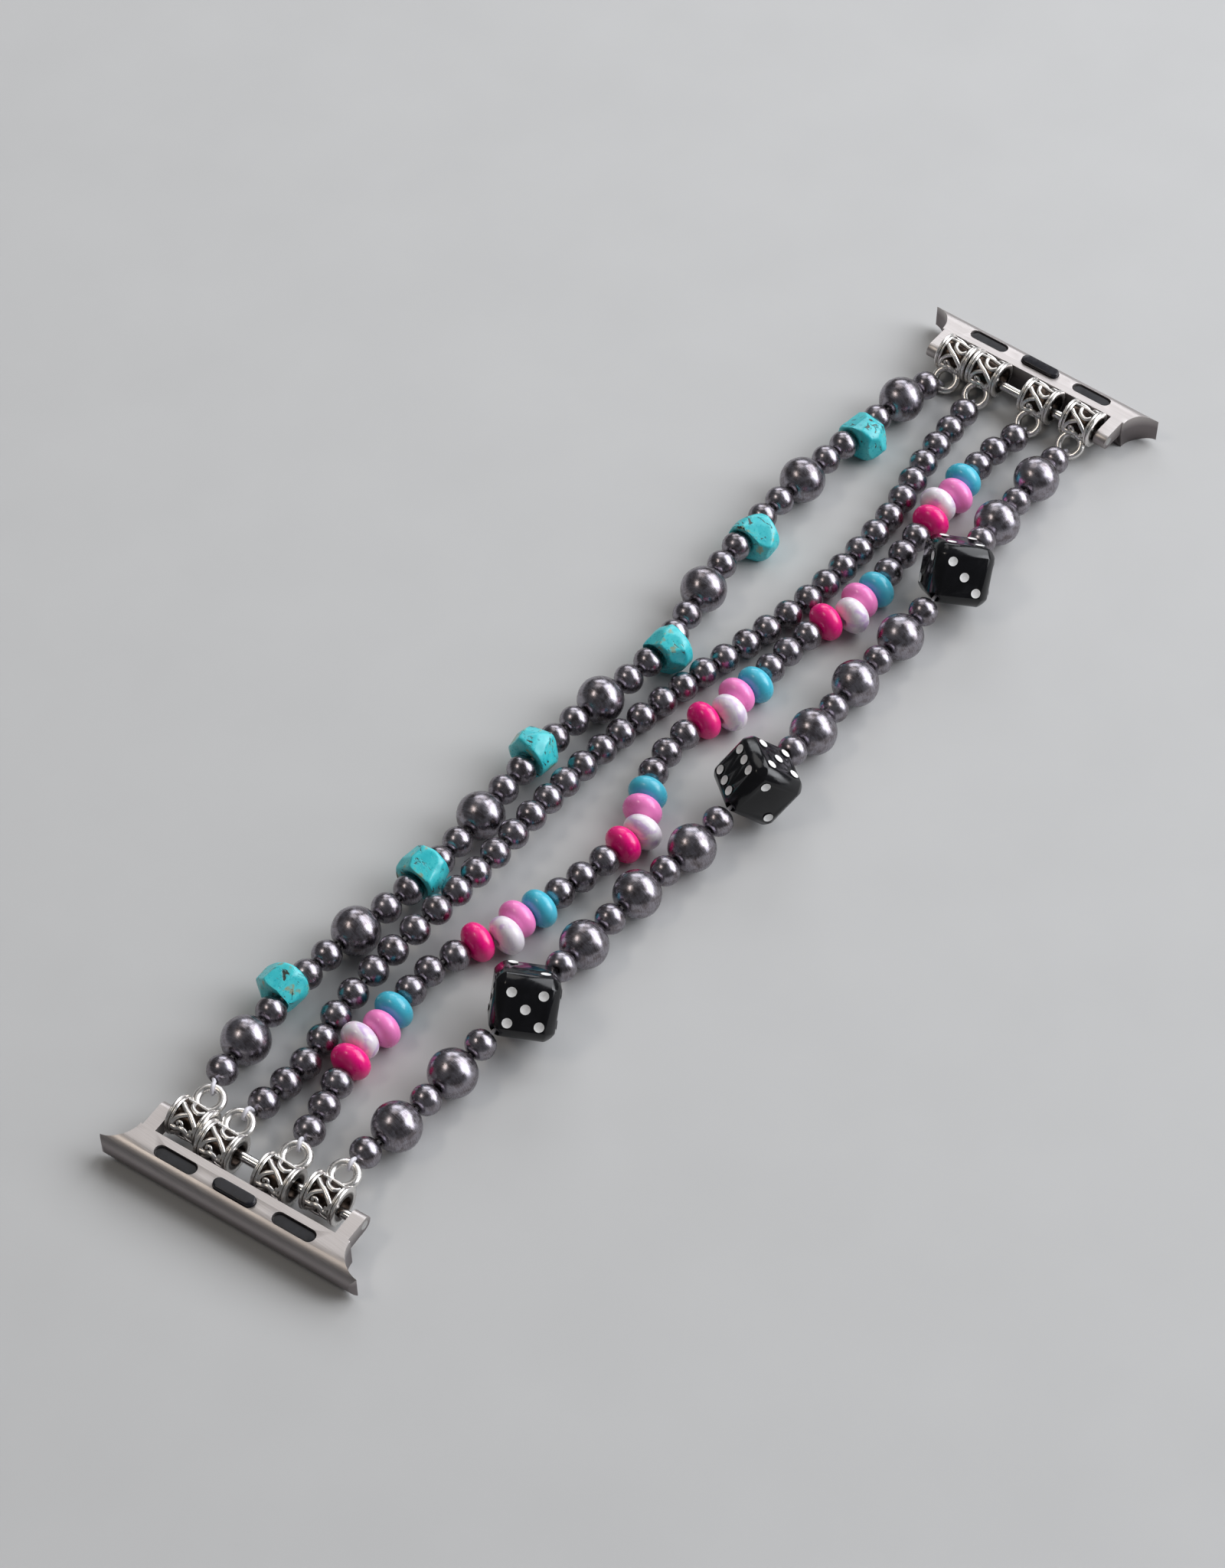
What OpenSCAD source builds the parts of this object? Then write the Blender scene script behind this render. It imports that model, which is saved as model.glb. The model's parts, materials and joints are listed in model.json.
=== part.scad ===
// Stretch watch band: four elastic strands of beads between two lug adapters.
// The band lies along X with its wrist side up, near adapter at -X, on the plane z = 0.

/* [Pearls] */
// Diameter of a small pearl
small_d = 4; // [3.6:0.1:4.3]
// Length of a small pearl along its cord
small_len = 3.5; // [3.2:0.1:3.9]
// Radius of the domed ends of a small pearl
small_dome_r = 3.2; // [2.6:0.1:4]
// Diameter of a large pearl
large_d = 6.4; // [6:0.1:6.8]
// Length of a large pearl along its cord
large_len = 5.8; // [5.4:0.1:6.2]
// Radius of the domed ends of a large pearl
large_dome_r = 4.4; // [3.8:0.1:5]
// Diameter of the hole through a pearl
pearl_hole_d = 1.5; // [1.4:0.1:1.8]

/* [Coloured beads] */
// Diameter of a coloured bead
color_d = 4.8; // [4.5:0.1:4.9]
// Length of a coloured bead along its hole
color_len = 3.15; // [2.9:0.05:3.2]
// Length of cord that each coloured bead takes
color_pitch = 2.85; // [2.75:0.05:3.05]
// Radius of the domed ends of a coloured bead
color_dome_r = 2.7; // [2.6:0.1:3.4]
// Diameter of the wide hole through a coloured bead
color_hole_d = 2.2; // [2:0.1:2.4]

/* [Turquoise chips] */
// Distance across a chip from its middle to a corner
chip_reach = 3.4; // [3:0.1:3.6]
// Thickness of a chip along the cord, at its hole
chip_len = 2.6; // [2.2:0.1:3]
// Thickness of a chip where it flares past the neighbouring pearls
chip_rim_len = 3.8; // [3.4:0.1:4]
// Radius of the flat round a chip's hole, on its two faces
chip_flat_r = 1.25; // [1.1:0.05:1.4]
// Radius of a chip's three bowed sides
chip_side_r = 7; // [5:0.5:9]
// Diameter of the hole through a chip
chip_hole_d = 1.4; // [1.2:0.1:1.8]

/* [Dice] */
// Edge of a die
die_edge = 8; // [7.6:0.1:8.2]
// Length of cord that a die takes from corner to corner
die_len = 10.9; // [10.2:0.1:11.2]
// Distance between opposite rounded edges of a die
die_edge_span = 10.6; // [10:0.1:10.9]
// Diameter of the hole through a die
die_hole_d = 1.8; // [1.6:0.1:2]
// Diameter of a pip
pip_d = 1.3; // [1:0.05:1.4]
// Depth of a pip
pip_depth = 0.2; // [0.1:0.05:0.3]
// Distance from a face's middle to a corner pip, along an edge
pip_pitch = 1.87; // [1.6:0.01:2]

/* [Cord and gaps] */
// Diameter of the elastic cord
cord_d = 0.5; // [0.4:0.05:0.6]
// Gap between neighbouring beads inside a row
bead_gap = 0.05; // [0.03:0.01:0.1]
// Least gap between beads where the band bends or stretches
row_gap = 0.2; // [0.15:0.01:0.3]
// Gap between a cord's loop and the ring that it hooks
loop_gap = 0.08; // [0.06:0.01:0.12]

/* [Adapter frames] */
// Length of a lug rail from tip to tip
rail_len = 36; // [35:0.5:38]
// Width of a lug rail, from its band side to its outer edge
rail_w = 4.2; // [4:0.1:4.6]
// Height of a lug rail
rail_h = 4.4; // [4.2:0.1:4.8]
// Clear width between an adapter's two arms
arm_span = 25; // [24.8:0.1:25.4]
// Width of an arm
arm_w = 1.75; // [1.6:0.05:1.9]
// Height of an arm
arm_h = 2.2; // [2:0.1:2.4]
// Distance from the rail's band side to the bar's axis
bar_reach = 3.1; // [3:0.05:3.4]
// Diameter of the bar
bar_d = 1.2; // [1:0.1:1.4]
// Clearance round the bar in an arm
bar_fit = 0.02; // [0.01:0.01:0.04]
// Turn of the near adapter from square
near_yaw = 5.7; // [4:0.1:7]
// Turn of the far adapter from square
far_yaw = 0.5; // [0:0.1:2]

/* [Latches and side pads] */
// Distance between the three slots in a rail
slot_pitch = 8.2; // [7.8:0.1:8.6]
// Distance between the two round ends of a slot, centre to centre
slot_run = 4.1; // [3.8:0.1:4.3]
// Width of a slot
slot_w = 1.7; // [1.6:0.1:1.9]
// Distance from the rail's band side to the middle of its slots
slot_in = 1.85; // [1.8:0.05:2]
// Depth of a side pad's slot
pad_slot_h = 1.6; // [1.2:0.1:2]
// Distance of a side pad's face below the rail's top
pad_drop = 0.3; // [0.1:0.05:0.5]
// Clearance round a side pad
pad_fit = 0.02; // [0.01:0.01:0.04]
// Clearance round a latch button
latch_fit = 0.08; // [0.05:0.01:0.1]
// Height of the lip that holds a latch button in
latch_lip = 0.9; // [0.8:0.05:1.1]
// Thickness of a latch button's flange
latch_flange_h = 0.5; // [0.4:0.05:0.6]
// Width of the flange past the button's side
latch_flange_w = 0.25; // [0.2:0.05:0.3]
// Height that a latch button stands proud of the rail
latch_proud = 0.5; // [0.4:0.05:0.7]
// Travel of a latch button into the rail
latch_travel = 0.7; // [0.5:0.05:0.8]
// Thickness of the rail under the latch
latch_floor = 0.7; // [0.6:0.05:0.9]
// Outer diameter of a latch spring
spring_d = 1.4; // [1.2:0.1:1.5]
// Diameter of the spring's wire
spring_wire_d = 0.2; // [0.15:0.01:0.22]

/* [End bails] */
// Diameter of a bail's barrel
barrel_d = 4.5; // [4.2:0.1:4.7]
// Diameter of the rims round a barrel's ends
rim_d = 5; // [4.8:0.1:5.2]
// Width of a rim
rim_w = 0.35; // [0.25:0.05:0.45]
// Length of a barrel
barrel_len = 4.6; // [4.2:0.1:4.8]
// Diameter of a barrel's bore
bail_bore_d = 2.6; // [2.4:0.1:2.8]
// Gap between the bar and the bore where a bail bears on it
bail_fit = 0.06; // [0.03:0.01:0.1]
// Outer diameter of a bail's ring
ring_d = 3.7; // [3.4:0.1:3.9]
// Diameter of the ring's wire
ring_wire_d = 0.75; // [0.6:0.05:0.9]
// Distance from the barrel's axis to the ring's centre
ring_reach = 3.4; // [3.2:0.1:3.6]
// Upward tilt of the near rings
near_tilt = 8; // [4:1:12]
// Downward tilt of the far rings
far_tilt = 38; // [30:1:39]

/* [Hidden] */
// Each row: its name and its beads on strands 1 to 4, from the near end.
// S small pearl, L large pearl, C chip, D die, H M P T hot pink, marble, light pink and turquoise beads.
ROWS = [
    ["row_01_near", "S", "S", "S", "S"],
    ["row_01_far", "L", "SS", "SS", "L"],
    ["row_02", "SCSS", "SSS", "HMPT", "SLS"],
    ["row_03_near", "L", "SS", "SS", "D"],
    ["row_03_far", "S", "S", "S", ""],
    ["row_04", "SCSS", "SSS", "HMPT", "SL"],
    ["row_05_near", "L", "S", "SS", "S"],
    ["row_05_far", "S", "S", "S", "L"],
    ["row_06", "SCS", "SSSS", "HMPT", "SLS"],
    ["row_07_near", "SL", "SS", "SS", "D"],
    ["row_07_far", "S", "S", "S", ""],
    ["row_08", "SCSS", "SSSS", "HMPT", "SLS"],
    ["row_09_near", "L", "SS", "SS", "L"],
    ["row_09_far", "S", "S", "S", "S"],
    ["row_10", "SCS", "SSS", "HMPT", "LS"],
    ["row_11_near", "S", "S", "S", ""],
    ["row_11_far", "L", "SS", "SS", "D"],
    ["row_12", "SSCS", "SSS", "HMPT", "SLS"],
    ["row_13_near", "L", "SS", "SS", "L"],
    ["row_13_far", "S", "S", "S", "S"],
];
STRANDS = [1, 2, 3, 4];
// The route of each strand: x, y and height above the one at which its beads lie on the plane.
ROUTES = [
    [],
    [[-72.5, 9.5, 0], [-62, 10.8, 0], [-50, 11.1, 0], [-38, 9.9, 0], [-28, 10, 0], [-16, 11, 0], [-4, 10.9, 0],
        [6, 9.8, 0], [14, 10, 0], [24, 12, 0], [36, 13.4, 0], [50, 13.2, 0], [62, 12.2, 0], [67.5, 11.6, 0], [72.2, 11, -1.1]],
    [[-72.5, 3.4, 0.4], [-63, 3.5, 0], [-55, 5.2, 0.4], [-46, 5.4, 1.4], [-37, 4.8, 2.2], [-28, 4.8, 2.2],
        [-19, 5.4, 1.6], [-9, 5.9, 0.6], [0, 5.5, 0.1], [10, 4.2, 0], [20, 2.4, 0], [30, 0.9, 0], [40, 0.7, 0],
        [50, 1.4, 0], [60, 3.5, 0], [71.8, 4.7, 0]],
    [[-72.2, -3.8, 0.2], [-65, -1.9, 0], [-60, -0.4, 0], [-52, 0.1, 0], [-45, 0.6, 0], [-40, -0.7, 0],
        [-34, -2.8, 0], [-27, -4, 0], [-20, -5.1, 0], [-15, -5.8, 0], [-10, -4.2, 0], [-4.5, -1.4, 0],
        [2, -0.7, 0], [8, -2, 0], [14, -2.6, 0], [20, -2.5, 0], [27, -3.2, 0], [33, -5, 0], [39, -4.7, 0],
        [45, -4.1, 0], [52, -3.4, 0], [60, -2.9, 0], [66, -2.8, 0], [71.7, -3.9, 0]],
    [[-70.8, -10.4, 0], [-62, -11.2, 0], [-54.5, -11.3, 0], [-49, -11.8, 1.2], [-43.2, -12.3, 2.2],
        [-37.4, -12, 1.2], [-31, -11.6, 0], [-22, -11.8, 0], [-12, -12.7, 0], [-6, -13.2, 1.2],
        [0, -13.6, 2.2], [6, -13.5, 1.2], [11.8, -13.3, 0], [22, -12.7, 0], [32, -12.6, 0], [38, -12.8, 1.2],
        [43.5, -12.6, 2.2], [49.2, -11.8, 1.2], [55.5, -10.9, 0], [63, -10.6, 0], [67, -10.3, 0], [71.4, -10, -1.1]],
];
// The two pearls' diameters, added, for which the routes were chosen.
ROUTE_PEARLS = 10.4;
ROUTE_STEPS = 6;
// Sideways and upward shift of each coloured bead from its strand's route, set by set.
COLOR_SHIFTS = [
    [[-0.2, 0], [0.6, 0.1], [-0.4, 0], [0.1, 0]],
    [[0.3, 0], [-0.9, 0.3], [0.5, 0], [-0.1, 0]],
    [[0.3, 0], [-0.9, 0.2], [0.2, 0], [0, 0]],
    [[0.3, 0], [-0.9, 0.2], [0.5, 0], [-0.1, 0]],
    [[0.2, 0], [-0.9, 0.3], [0.5, 0], [-0.2, 0]],
    [[-0.2, 0], [0.5, 0.2], [-0.4, 0], [0.2, 0]],
];
// Each chip's turn about the cord, the distance and direction of its middle from the cord, its share of thickness.
CHIPS = [[15, 1.3, 10, 1.15], [80, 0.5, 60, 0.8], [50, 0.8, 20, 1.1], [15, 1.15, 165, 0.85], [200, 1.2, 200, 1],
    [-15, 0.9, 200, 1.2]];
// Roll of each die about the cord, and the pips on its faces +x, -x, +y, -y, +z, -z.
DICE = [[-20, [4, 3, 6, 5, 2, 1]], [23, [1, 6, 3, 2, 5, 4]], [-13, [5, 2, 6, 3, 4, 1]]];
PIPS = [
    [],
    [[0, 0]],
    [[-1, 1], [1, -1]],
    [[-1, 1], [0, 0], [1, -1]],
    [[-1, -1], [-1, 1], [1, -1], [1, 1]],
    [[-1, -1], [-1, 1], [0, 0], [1, -1], [1, 1]],
    [[-1, -1], [-1, 0], [-1, 1], [1, -1], [1, 0], [1, 1]],
];
PEARLS = "SL";
COLORS = "HMPT";
// Moves the band so that the middle of its box stands over the origin.
BAND_AT = [1.7, 1.4];
// Places of the bails along each bar, from strand 1. The two outer pairs keep their distance from the arms.
NEAR_BAILS = [arm_span / 2 - 2.4, arm_span / 2 - 7.1, -2.6, 3.8 - arm_span / 2];
FAR_BAILS = [arm_span / 2 - 2.4, arm_span / 2 - 7.3, -3.2, 2.7 - arm_span / 2];
// The adapters' places past the strands' ends.
NEAR_AT = [8.5, -3];
FAR_AT = [7.2, 0.2];
// How far each bail is drawn along its play on the bar: 1 towards the band, -1 back towards its rail.
NEAR_DRAWN = [1, -0.3, -0.4, 1];
FAR_DRAWN = [-0.9, -0.9, -0.9, -0.9];

$fn = 48;

function sum(v, k = 0) = k < len(v) ? v[k] + sum(v, k + 1) : 0;
function unit(v) = v / norm(v);

// The beads of a strand: kind, place of the row in ROWS, and number among the strand's beads of that kind.
function strand(s) = let (b = [for (r = [0 : len(ROWS) - 1]) for (kind = ROWS[r][s]) [kind, r]])
    [for (k = [0 : len(b) - 1]) [b[k][0], b[k][1], len([for (j = [0 : k]) if (b[j][0] == b[k][0]) j]) - 1]];
BEADS = [for (s = concat([0], STRANDS)) s == 0 ? [] : strand(s)];
function run_of(b) = b[0] == "S" ? small_len : b[0] == "L" ? large_len : b[0] == "D" ? die_len
    : b[0] == "C" ? chip_len * CHIPS[b[2]][3] : color_pitch;

// A smooth curve through a route's points.
function bend(a, b, c, d, t) = b + t * (c - a) / 2 + t ^ 2 * (2 * a - 5 * b + 4 * c - d) / 2
    + t ^ 3 * (3 * b - a - 3 * c + d) / 2;
function smooth_route(p) = [for (k = [0 : len(p) - 2]) let (
        a = k > 0 ? p[k - 1] : 2 * p[0] - p[1],
        d = k + 2 < len(p) ? p[k + 2] : 2 * p[k + 1] - p[k])
    for (j = [0 : ROUTE_STEPS - (k == len(p) - 2 ? 0 : 1)]) bend(a, p[k], p[k + 1], d, j / ROUTE_STEPS)];
function way_along(p) = [for (k = 0, w = 0; k < len(p); w = w + (k + 1 < len(p) ? norm(p[k + 1] - p[k]) : 0),
    k = k + 1) w];

// Each strand's share of gaps inside rows, and of gaps where the band bends or stretches.
function inner_gaps(s) = sum([for (k = [0 : len(BEADS[s]) - 2]) BEADS[s][k][1] == BEADS[s][k + 1][1] ? 1 : 0]);
function row_gaps(s) = len(BEADS[s]) - 1 - inner_gaps(s);
function bead_run(s) = sum([for (b = BEADS[s]) run_of(b)]) + inner_gaps(s) * bead_gap;
function route_run(s) = let (way = way_along(smooth_route(ROUTES[s]))) way[len(way) - 1];

// The routes grow with the strand that needs most room, and spread with the pearls.
stretch_x = max([for (s = STRANDS) (bead_run(s) + row_gaps(s) * row_gap) / route_run(s)]);
spread = (small_d + large_d) / ROUTE_PEARLS;
die_lift = (die_edge_span - large_d) / 2;
function rest_height(s) = s == 1 || s == 4 ? large_d / 2 : s == 2 ? small_d / 2 : color_d / 2;
LINES = [for (s = concat([0], STRANDS)) s == 0 ? []
    : smooth_route([for (p = ROUTES[s])
        [p.x * stretch_x + BAND_AT.x, p.y * spread + BAND_AT.y, rest_height(s) + p.z * spread]])];
WAYS = [for (line = LINES) way_along(line)];
function on_line(s, w, i) = lookup(w, [for (k = [0 : len(WAYS[s]) - 1]) [WAYS[s][k], LINES[s][k][i]]]);
function at(s, w) = [on_line(s, w, 0), on_line(s, w, 1), on_line(s, w, 2)];

// Where each bead's middle lies along its strand.
function spare_gap(s) = (WAYS[s][len(WAYS[s]) - 1] - bead_run(s)) / row_gaps(s);
function middles(s) = let (b = BEADS[s], g = spare_gap(s))
    [for (k = 0, w = run_of(b[0]) / 2; k < len(b);
        w = k + 1 < len(b) ? w + (run_of(b[k]) + run_of(b[k + 1])) / 2
            + (b[k][1] == b[k + 1][1] ? bead_gap : g) : w,
        k = k + 1) w];
function is_color(s, k) = len(search(BEADS[s][k][0], COLORS)) > 0;
function shift(s, k) = !is_color(s, k) ? [0, 0, 0]
    : let (b = BEADS[s][k], d = COLOR_SHIFTS[b[2]][search(b[0], COLORS)[0]]) spread * [0, d[0], d[1]];
PLACES = [for (s = concat([0], STRANDS)) s == 0 ? []
    : let (m = middles(s)) [for (k = [0 : len(m) - 1]) at(s, m[k]) + shift(s, k)]];
function axis_of(s, k) = let (c = PLACES[s], n = len(c) - 1) unit(c[min(k + 1, n)] - c[max(k - 1, 0)]);
// A coloured bead turns only half as far as its neighbours' places.
function turn_of(s, k) = is_color(s, k) ? unit(axis_of(s, k) + [1, 0, 0]) : axis_of(s, k);

near_at = [LINES[1][0].x - NEAR_AT.x, BAND_AT.y + NEAR_AT.y];
far_at = [LINES[1][len(LINES[1]) - 1].x + FAR_AT.x, BAND_AT.y + FAR_AT.y];
bar_z = rail_h - arm_h / 2;
bail_play = (bail_bore_d - bar_d) / 2 - bail_fit;

module along(place, way) {
    translate(place)
        rotate([0, -asin(way.z), atan2(way.y, way.x)])
            children();
}

module hole(d, run) {
    rotate([0, 90, 0])
        cylinder(d = d, h = run, center = true);
}

// A bead with its hole along X: a ball between two domed ends.
module bead(d, run, dome_r, hole_d) {
    rotate([0, 90, 0])
        rotate_extrude()
            intersection() {
                circle(d = d);
                translate([0, dome_r - run / 2])
                    circle(r = dome_r);
                translate([0, run / 2 - dome_r])
                    circle(r = dome_r);
                translate([hole_d / 2, -run])
                    square([d, 2 * run]);
            }
}

// A pebble with three bowed sides and blunt corners, drilled off its middle. Its two faces are flat at the hole,
// flare past the neighbouring pearls, and thin again towards the rim.
module chip(roll, shift, direction, run) {
    flare = chip_flat_r + (chip_rim_len - run) / 2;
    face = [
        [chip_hole_d / 2, run / 2], [chip_flat_r, run / 2], [flare, chip_rim_len / 2],
        [chip_reach * 0.85, chip_rim_len / 2], [chip_reach * 1.3, chip_rim_len / 4],
    ];
    intersection() {
        rotate([0, 90, 0])
            rotate_extrude()
                polygon(concat(face, [for (k = [len(face) - 1 : -1 : 0]) [face[k].x, -face[k].y]]));
        rotate([direction, 0, 0])
            translate([0, shift, 0])
                rotate([roll - direction, 0, 0])
                    rotate([90, 0, 90])
                        linear_extrude(2 * chip_rim_len, center = true)
                            intersection() {
                                circle(r = chip_reach * 0.9);
                                for (turn = [0, 120, 240])
                                    rotate(turn)
                                        translate([chip_side_r - chip_reach * 0.72, 0])
                                            circle(r = chip_side_r);
                            }
    }
}

module pips(count) {
    dent_r = (pip_d ^ 2 / 4 + pip_depth ^ 2) / (2 * pip_depth);
    for (p = PIPS[count])
        translate([p.x * pip_pitch, p.y * pip_pitch, die_edge / 2 + dent_r - pip_depth])
            sphere(r = dent_r);
}

// A die drilled from corner to corner, with that corner line along X.
module die(roll, faces) {
    difference() {
        rotate([roll, 0, 0])
            rotate([0, atan(1 / sqrt(2)), 0])
                rotate([0, 0, -45])
                    difference() {
                        intersection() {
                            cube(die_edge, center = true);
                            sphere(d = die_len);
                            cylinder(d = die_edge_span, h = 2 * die_edge, center = true);
                            rotate([90, 0, 0])
                                cylinder(d = die_edge_span, h = 2 * die_edge, center = true);
                            hole(die_edge_span, 2 * die_edge);
                        }
                        rotate([0, 90, 0]) pips(faces[0]);
                        rotate([0, -90, 0]) pips(faces[1]);
                        rotate([-90, 0, 0]) pips(faces[2]);
                        rotate([90, 0, 0]) pips(faces[3]);
                        pips(faces[4]);
                        rotate([180, 0, 0]) pips(faces[5]);
                    }
        hole(die_hole_d, 2 * die_len);
    }
}

// The pearls of one row on all four strands.
module pearls(name) {
    for (s = STRANDS)
        for (k = [0 : len(BEADS[s]) - 1])
            if (ROWS[BEADS[s][k][1]][0] == name && len(search(BEADS[s][k][0], PEARLS)) > 0)
                color("dimgray")
                    along(PLACES[s][k], turn_of(s, k))
                        if (BEADS[s][k][0] == "S")
                            bead(small_d, small_len, small_dome_r, pearl_hole_d);
                        else
                            bead(large_d, large_len, large_dome_r, pearl_hole_d);
}

// The places on a strand of the beads of some kinds.
function spots(s, kinds) = [for (k = [0 : len(BEADS[s]) - 1]) if (len(search(BEADS[s][k][0], kinds)) > 0) k];

module color_set(number) {
    tints = ["deeppink", "lavender", "hotpink", "mediumturquoise"];
    for (k = [0 : 3]) {
        spot = spots(3, COLORS)[4 * (number - 1) + k];
        color(tints[k])
            along(PLACES[3][spot], turn_of(3, spot))
                bead(color_d, color_len, color_dome_r, color_hole_d);
    }
}

module chip_bead(number) {
    spot = spots(1, "C")[number - 1];
    form = CHIPS[number - 1];
    color("turquoise")
        along(PLACES[1][spot], turn_of(1, spot))
            chip(form[0], form[1], form[2], form[3] * chip_len);
}

module die_bead(number) {
    spot = spots(4, "D")[number - 1];
    form = DICE[number - 1];
    color("black")
        along(PLACES[4][spot], turn_of(4, spot))
            die(form[0], form[1]);
}

// Adapter pieces stand in a frame of their own: x outwards from the rail's band side, y along the rail.
module near_place() {
    translate([near_at.x, near_at.y, 0])
        rotate(180 + near_yaw)
            children();
}

module far_place() {
    translate([far_at.x, far_at.y, 0])
        rotate(far_yaw)
            children();
}

module stadium(w, h) {
    for (side = [-1, 1])
        translate([0, side * slot_run / 2, 0])
            cylinder(d = w, h = h);
    translate([-w / 2, -slot_run / 2, 0])
        cube([w, slot_run, h]);
}

// Half of the rail's plan: straight to the arm, then a concave waist and a rounded tip.
module rail_plan() {
    arm_out = arm_span / 2 + arm_w;
    tip_run = rail_len / 2 - arm_out;
    tip_r = rail_w * 0.36;
    difference() {
        union() {
            translate([0, -rail_len / 2 + tip_r])
                square([rail_w, rail_len - 2 * tip_r]);
            for (side = [-1, 1])
                translate([rail_w - tip_r, side * (rail_len / 2 - tip_r)])
                    circle(r = tip_r);
            translate([0, -rail_len / 2])
                square([rail_w - tip_r, rail_len]);
        }
        for (side = [-1, 1])
            translate([0, side * (arm_out + tip_run)])
                circle(r = tip_run - 0.3);
    }
}

module frame_body() {
    difference() {
        union() {
            intersection() {
                linear_extrude(rail_h)
                    rail_plan();
                rotate([90, 0, 0])
                    linear_extrude(rail_len + 1, center = true)
                        union() {
                            square([rail_w - rail_h / 2, rail_h]);
                            translate([rail_w - rail_h / 2, rail_h / 2])
                                circle(d = rail_h);
                        }
            }
            for (side = [-1, 1])
                translate([0, side * (arm_span + arm_w) / 2, bar_z])
                    rotate([90, 0, 0])
                        linear_extrude(arm_w, center = true)
                            union() {
                                translate([-bar_reach, 0])
                                    circle(d = arm_h);
                                translate([-bar_reach, -arm_h / 2])
                                    square([bar_reach + 1, arm_h]);
                            }
        }
        translate([-bar_reach, 0, bar_z])
            rotate([90, 0, 0])
                cylinder(d = bar_d + 2 * bar_fit, h = rail_len, center = true);
        for (side = [-1, 1])
            translate([slot_in, side * slot_pitch, rail_h - pad_slot_h])
                stadium(slot_w, rail_h);
        translate([slot_in, 0, latch_floor])
            stadium(slot_w, rail_h);
        translate([slot_in, 0, latch_floor])
            stadium(slot_w + 2 * latch_flange_w, rail_h - latch_lip - latch_floor);
    }
}

module side_pads() {
    for (side = [-1, 1])
        translate([slot_in, side * slot_pitch, rail_h - pad_slot_h])
            stadium(slot_w - 2 * pad_fit, pad_slot_h - pad_drop);
}

// The button hangs just under the lip at rest, with its head proud of the rail.
module latch_button() {
    flange_top = rail_h - latch_lip - latch_fit;
    head_h = latch_lip + latch_fit + latch_proud;
    translate([slot_in, 0, flange_top - latch_flange_h])
        union() {
            stadium(slot_w + 2 * latch_flange_w - 2 * latch_fit, latch_flange_h);
            stadium(slot_w - 2 * latch_fit, latch_flange_h + head_h);
        }
}

// A coil from the slot's floor to the flange, with the rings of a six-sided wire.
module latch_spring() {
    turns = 5;
    steps = 8 * turns;
    low = latch_floor + spring_wire_d / 2 + 0.02;
    high = rail_h - latch_lip - latch_fit - latch_flange_h - spring_wire_d / 2 - 0.02;
    coil_r = (spring_d - spring_wire_d) / 2;
    points = [for (k = [0 : steps]) for (j = [0 : 5]) let (
            a = 360 * turns * k / steps,
            r = coil_r + spring_wire_d / 2 * cos(60 * j),
            z = low + (high - low) * k / steps + spring_wire_d / 2 * sin(60 * j))
        [r * cos(a), r * sin(a), z]];
    translate([slot_in, 0, 0])
        tube(points, 6);
}

module bar() {
    translate([-bar_reach, 0, bar_z])
        rotate([90, 0, 0])
            cylinder(d = bar_d, h = arm_span + 2 * arm_w, center = true);
}

// A barrel with double rims at its ends, and a ring. The bar's axis is the origin and y.
module bail(drawn) {
    groove_r = barrel_d / 2 - 0.1;
    half = barrel_len / 2;
    steps = [
        [half, rim_d / 2], [half - rim_w, rim_d / 2], [half - rim_w, groove_r],
        [half - 1.5 * rim_w, groove_r], [half - 1.5 * rim_w, (rim_d + barrel_d) / 4],
        [half - 2.5 * rim_w, (rim_d + barrel_d) / 4], [half - 2.5 * rim_w, barrel_d / 2],
    ];
    outline = concat(
        [[bail_bore_d / 2, half]],
        [for (p = steps) [p[1], p[0]]],
        [for (k = [len(steps) - 1 : -1 : 0]) [steps[k][1], -steps[k][0]]],
        [[bail_bore_d / 2, -half]]);
    translate([-drawn, 0, 0]) {
        rotate([90, 0, 0])
            rotate_extrude()
                polygon(outline);
        translate([-ring_reach, 0, 0])
            rotate_extrude()
                translate([(ring_d - ring_wire_d) / 2, 0])
                    circle(d = ring_wire_d);
    }
}

module near_bail(number) {
    color("silver")
        near_place()
            translate([-bar_reach, -NEAR_BAILS[number - 1], bar_z])
                rotate([0, near_tilt, 0])
                    bail(NEAR_DRAWN[number - 1] * bail_play);
}

module far_bail(number) {
    color("silver")
        far_place()
            translate([-bar_reach, FAR_BAILS[number - 1], bar_z])
                rotate([0, -far_tilt, 0])
                    bail(FAR_DRAWN[number - 1] * bail_play);
}

// A closed tube through rings of points, from the first ring to the last.
module tube(points, sides) {
    rings = len(points) / sides;
    walls = [for (k = [0 : rings - 2]) for (j = [0 : sides - 1]) let (
            a = k * sides + j,
            b = k * sides + (j + 1) % sides,
            c = a + sides,
            d = b + sides)
        each [[a, b, c], [b, d, c]]];
    first = [for (j = [1 : sides - 2]) [0, j + 1, j]];
    last = [for (j = [1 : sides - 2]) [(rings - 1) * sides, (rings - 1) * sides + j, (rings - 1) * sides + j + 1]];
    polyhedron(points, concat(walls, first, last));
}

// The middle of a ring, in the band's frame.
function turned(p, a) = [p.x * cos(a) - p.y * sin(a), p.x * sin(a) + p.y * cos(a), p.z];
function ring_at(end, s) = end == "near"
    ? let (reach = ring_reach + NEAR_DRAWN[s - 1] * bail_play)
        [near_at.x, near_at.y, 0] + turned([-bar_reach - reach * cos(near_tilt), -NEAR_BAILS[s - 1],
            bar_z + reach * sin(near_tilt)], 180 + near_yaw)
    : let (reach = ring_reach + FAR_DRAWN[s - 1] * bail_play)
        [far_at.x, far_at.y, 0] + turned([-bar_reach - reach * cos(far_tilt), FAR_BAILS[s - 1],
            bar_z - reach * sin(far_tilt)], far_yaw);

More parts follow.
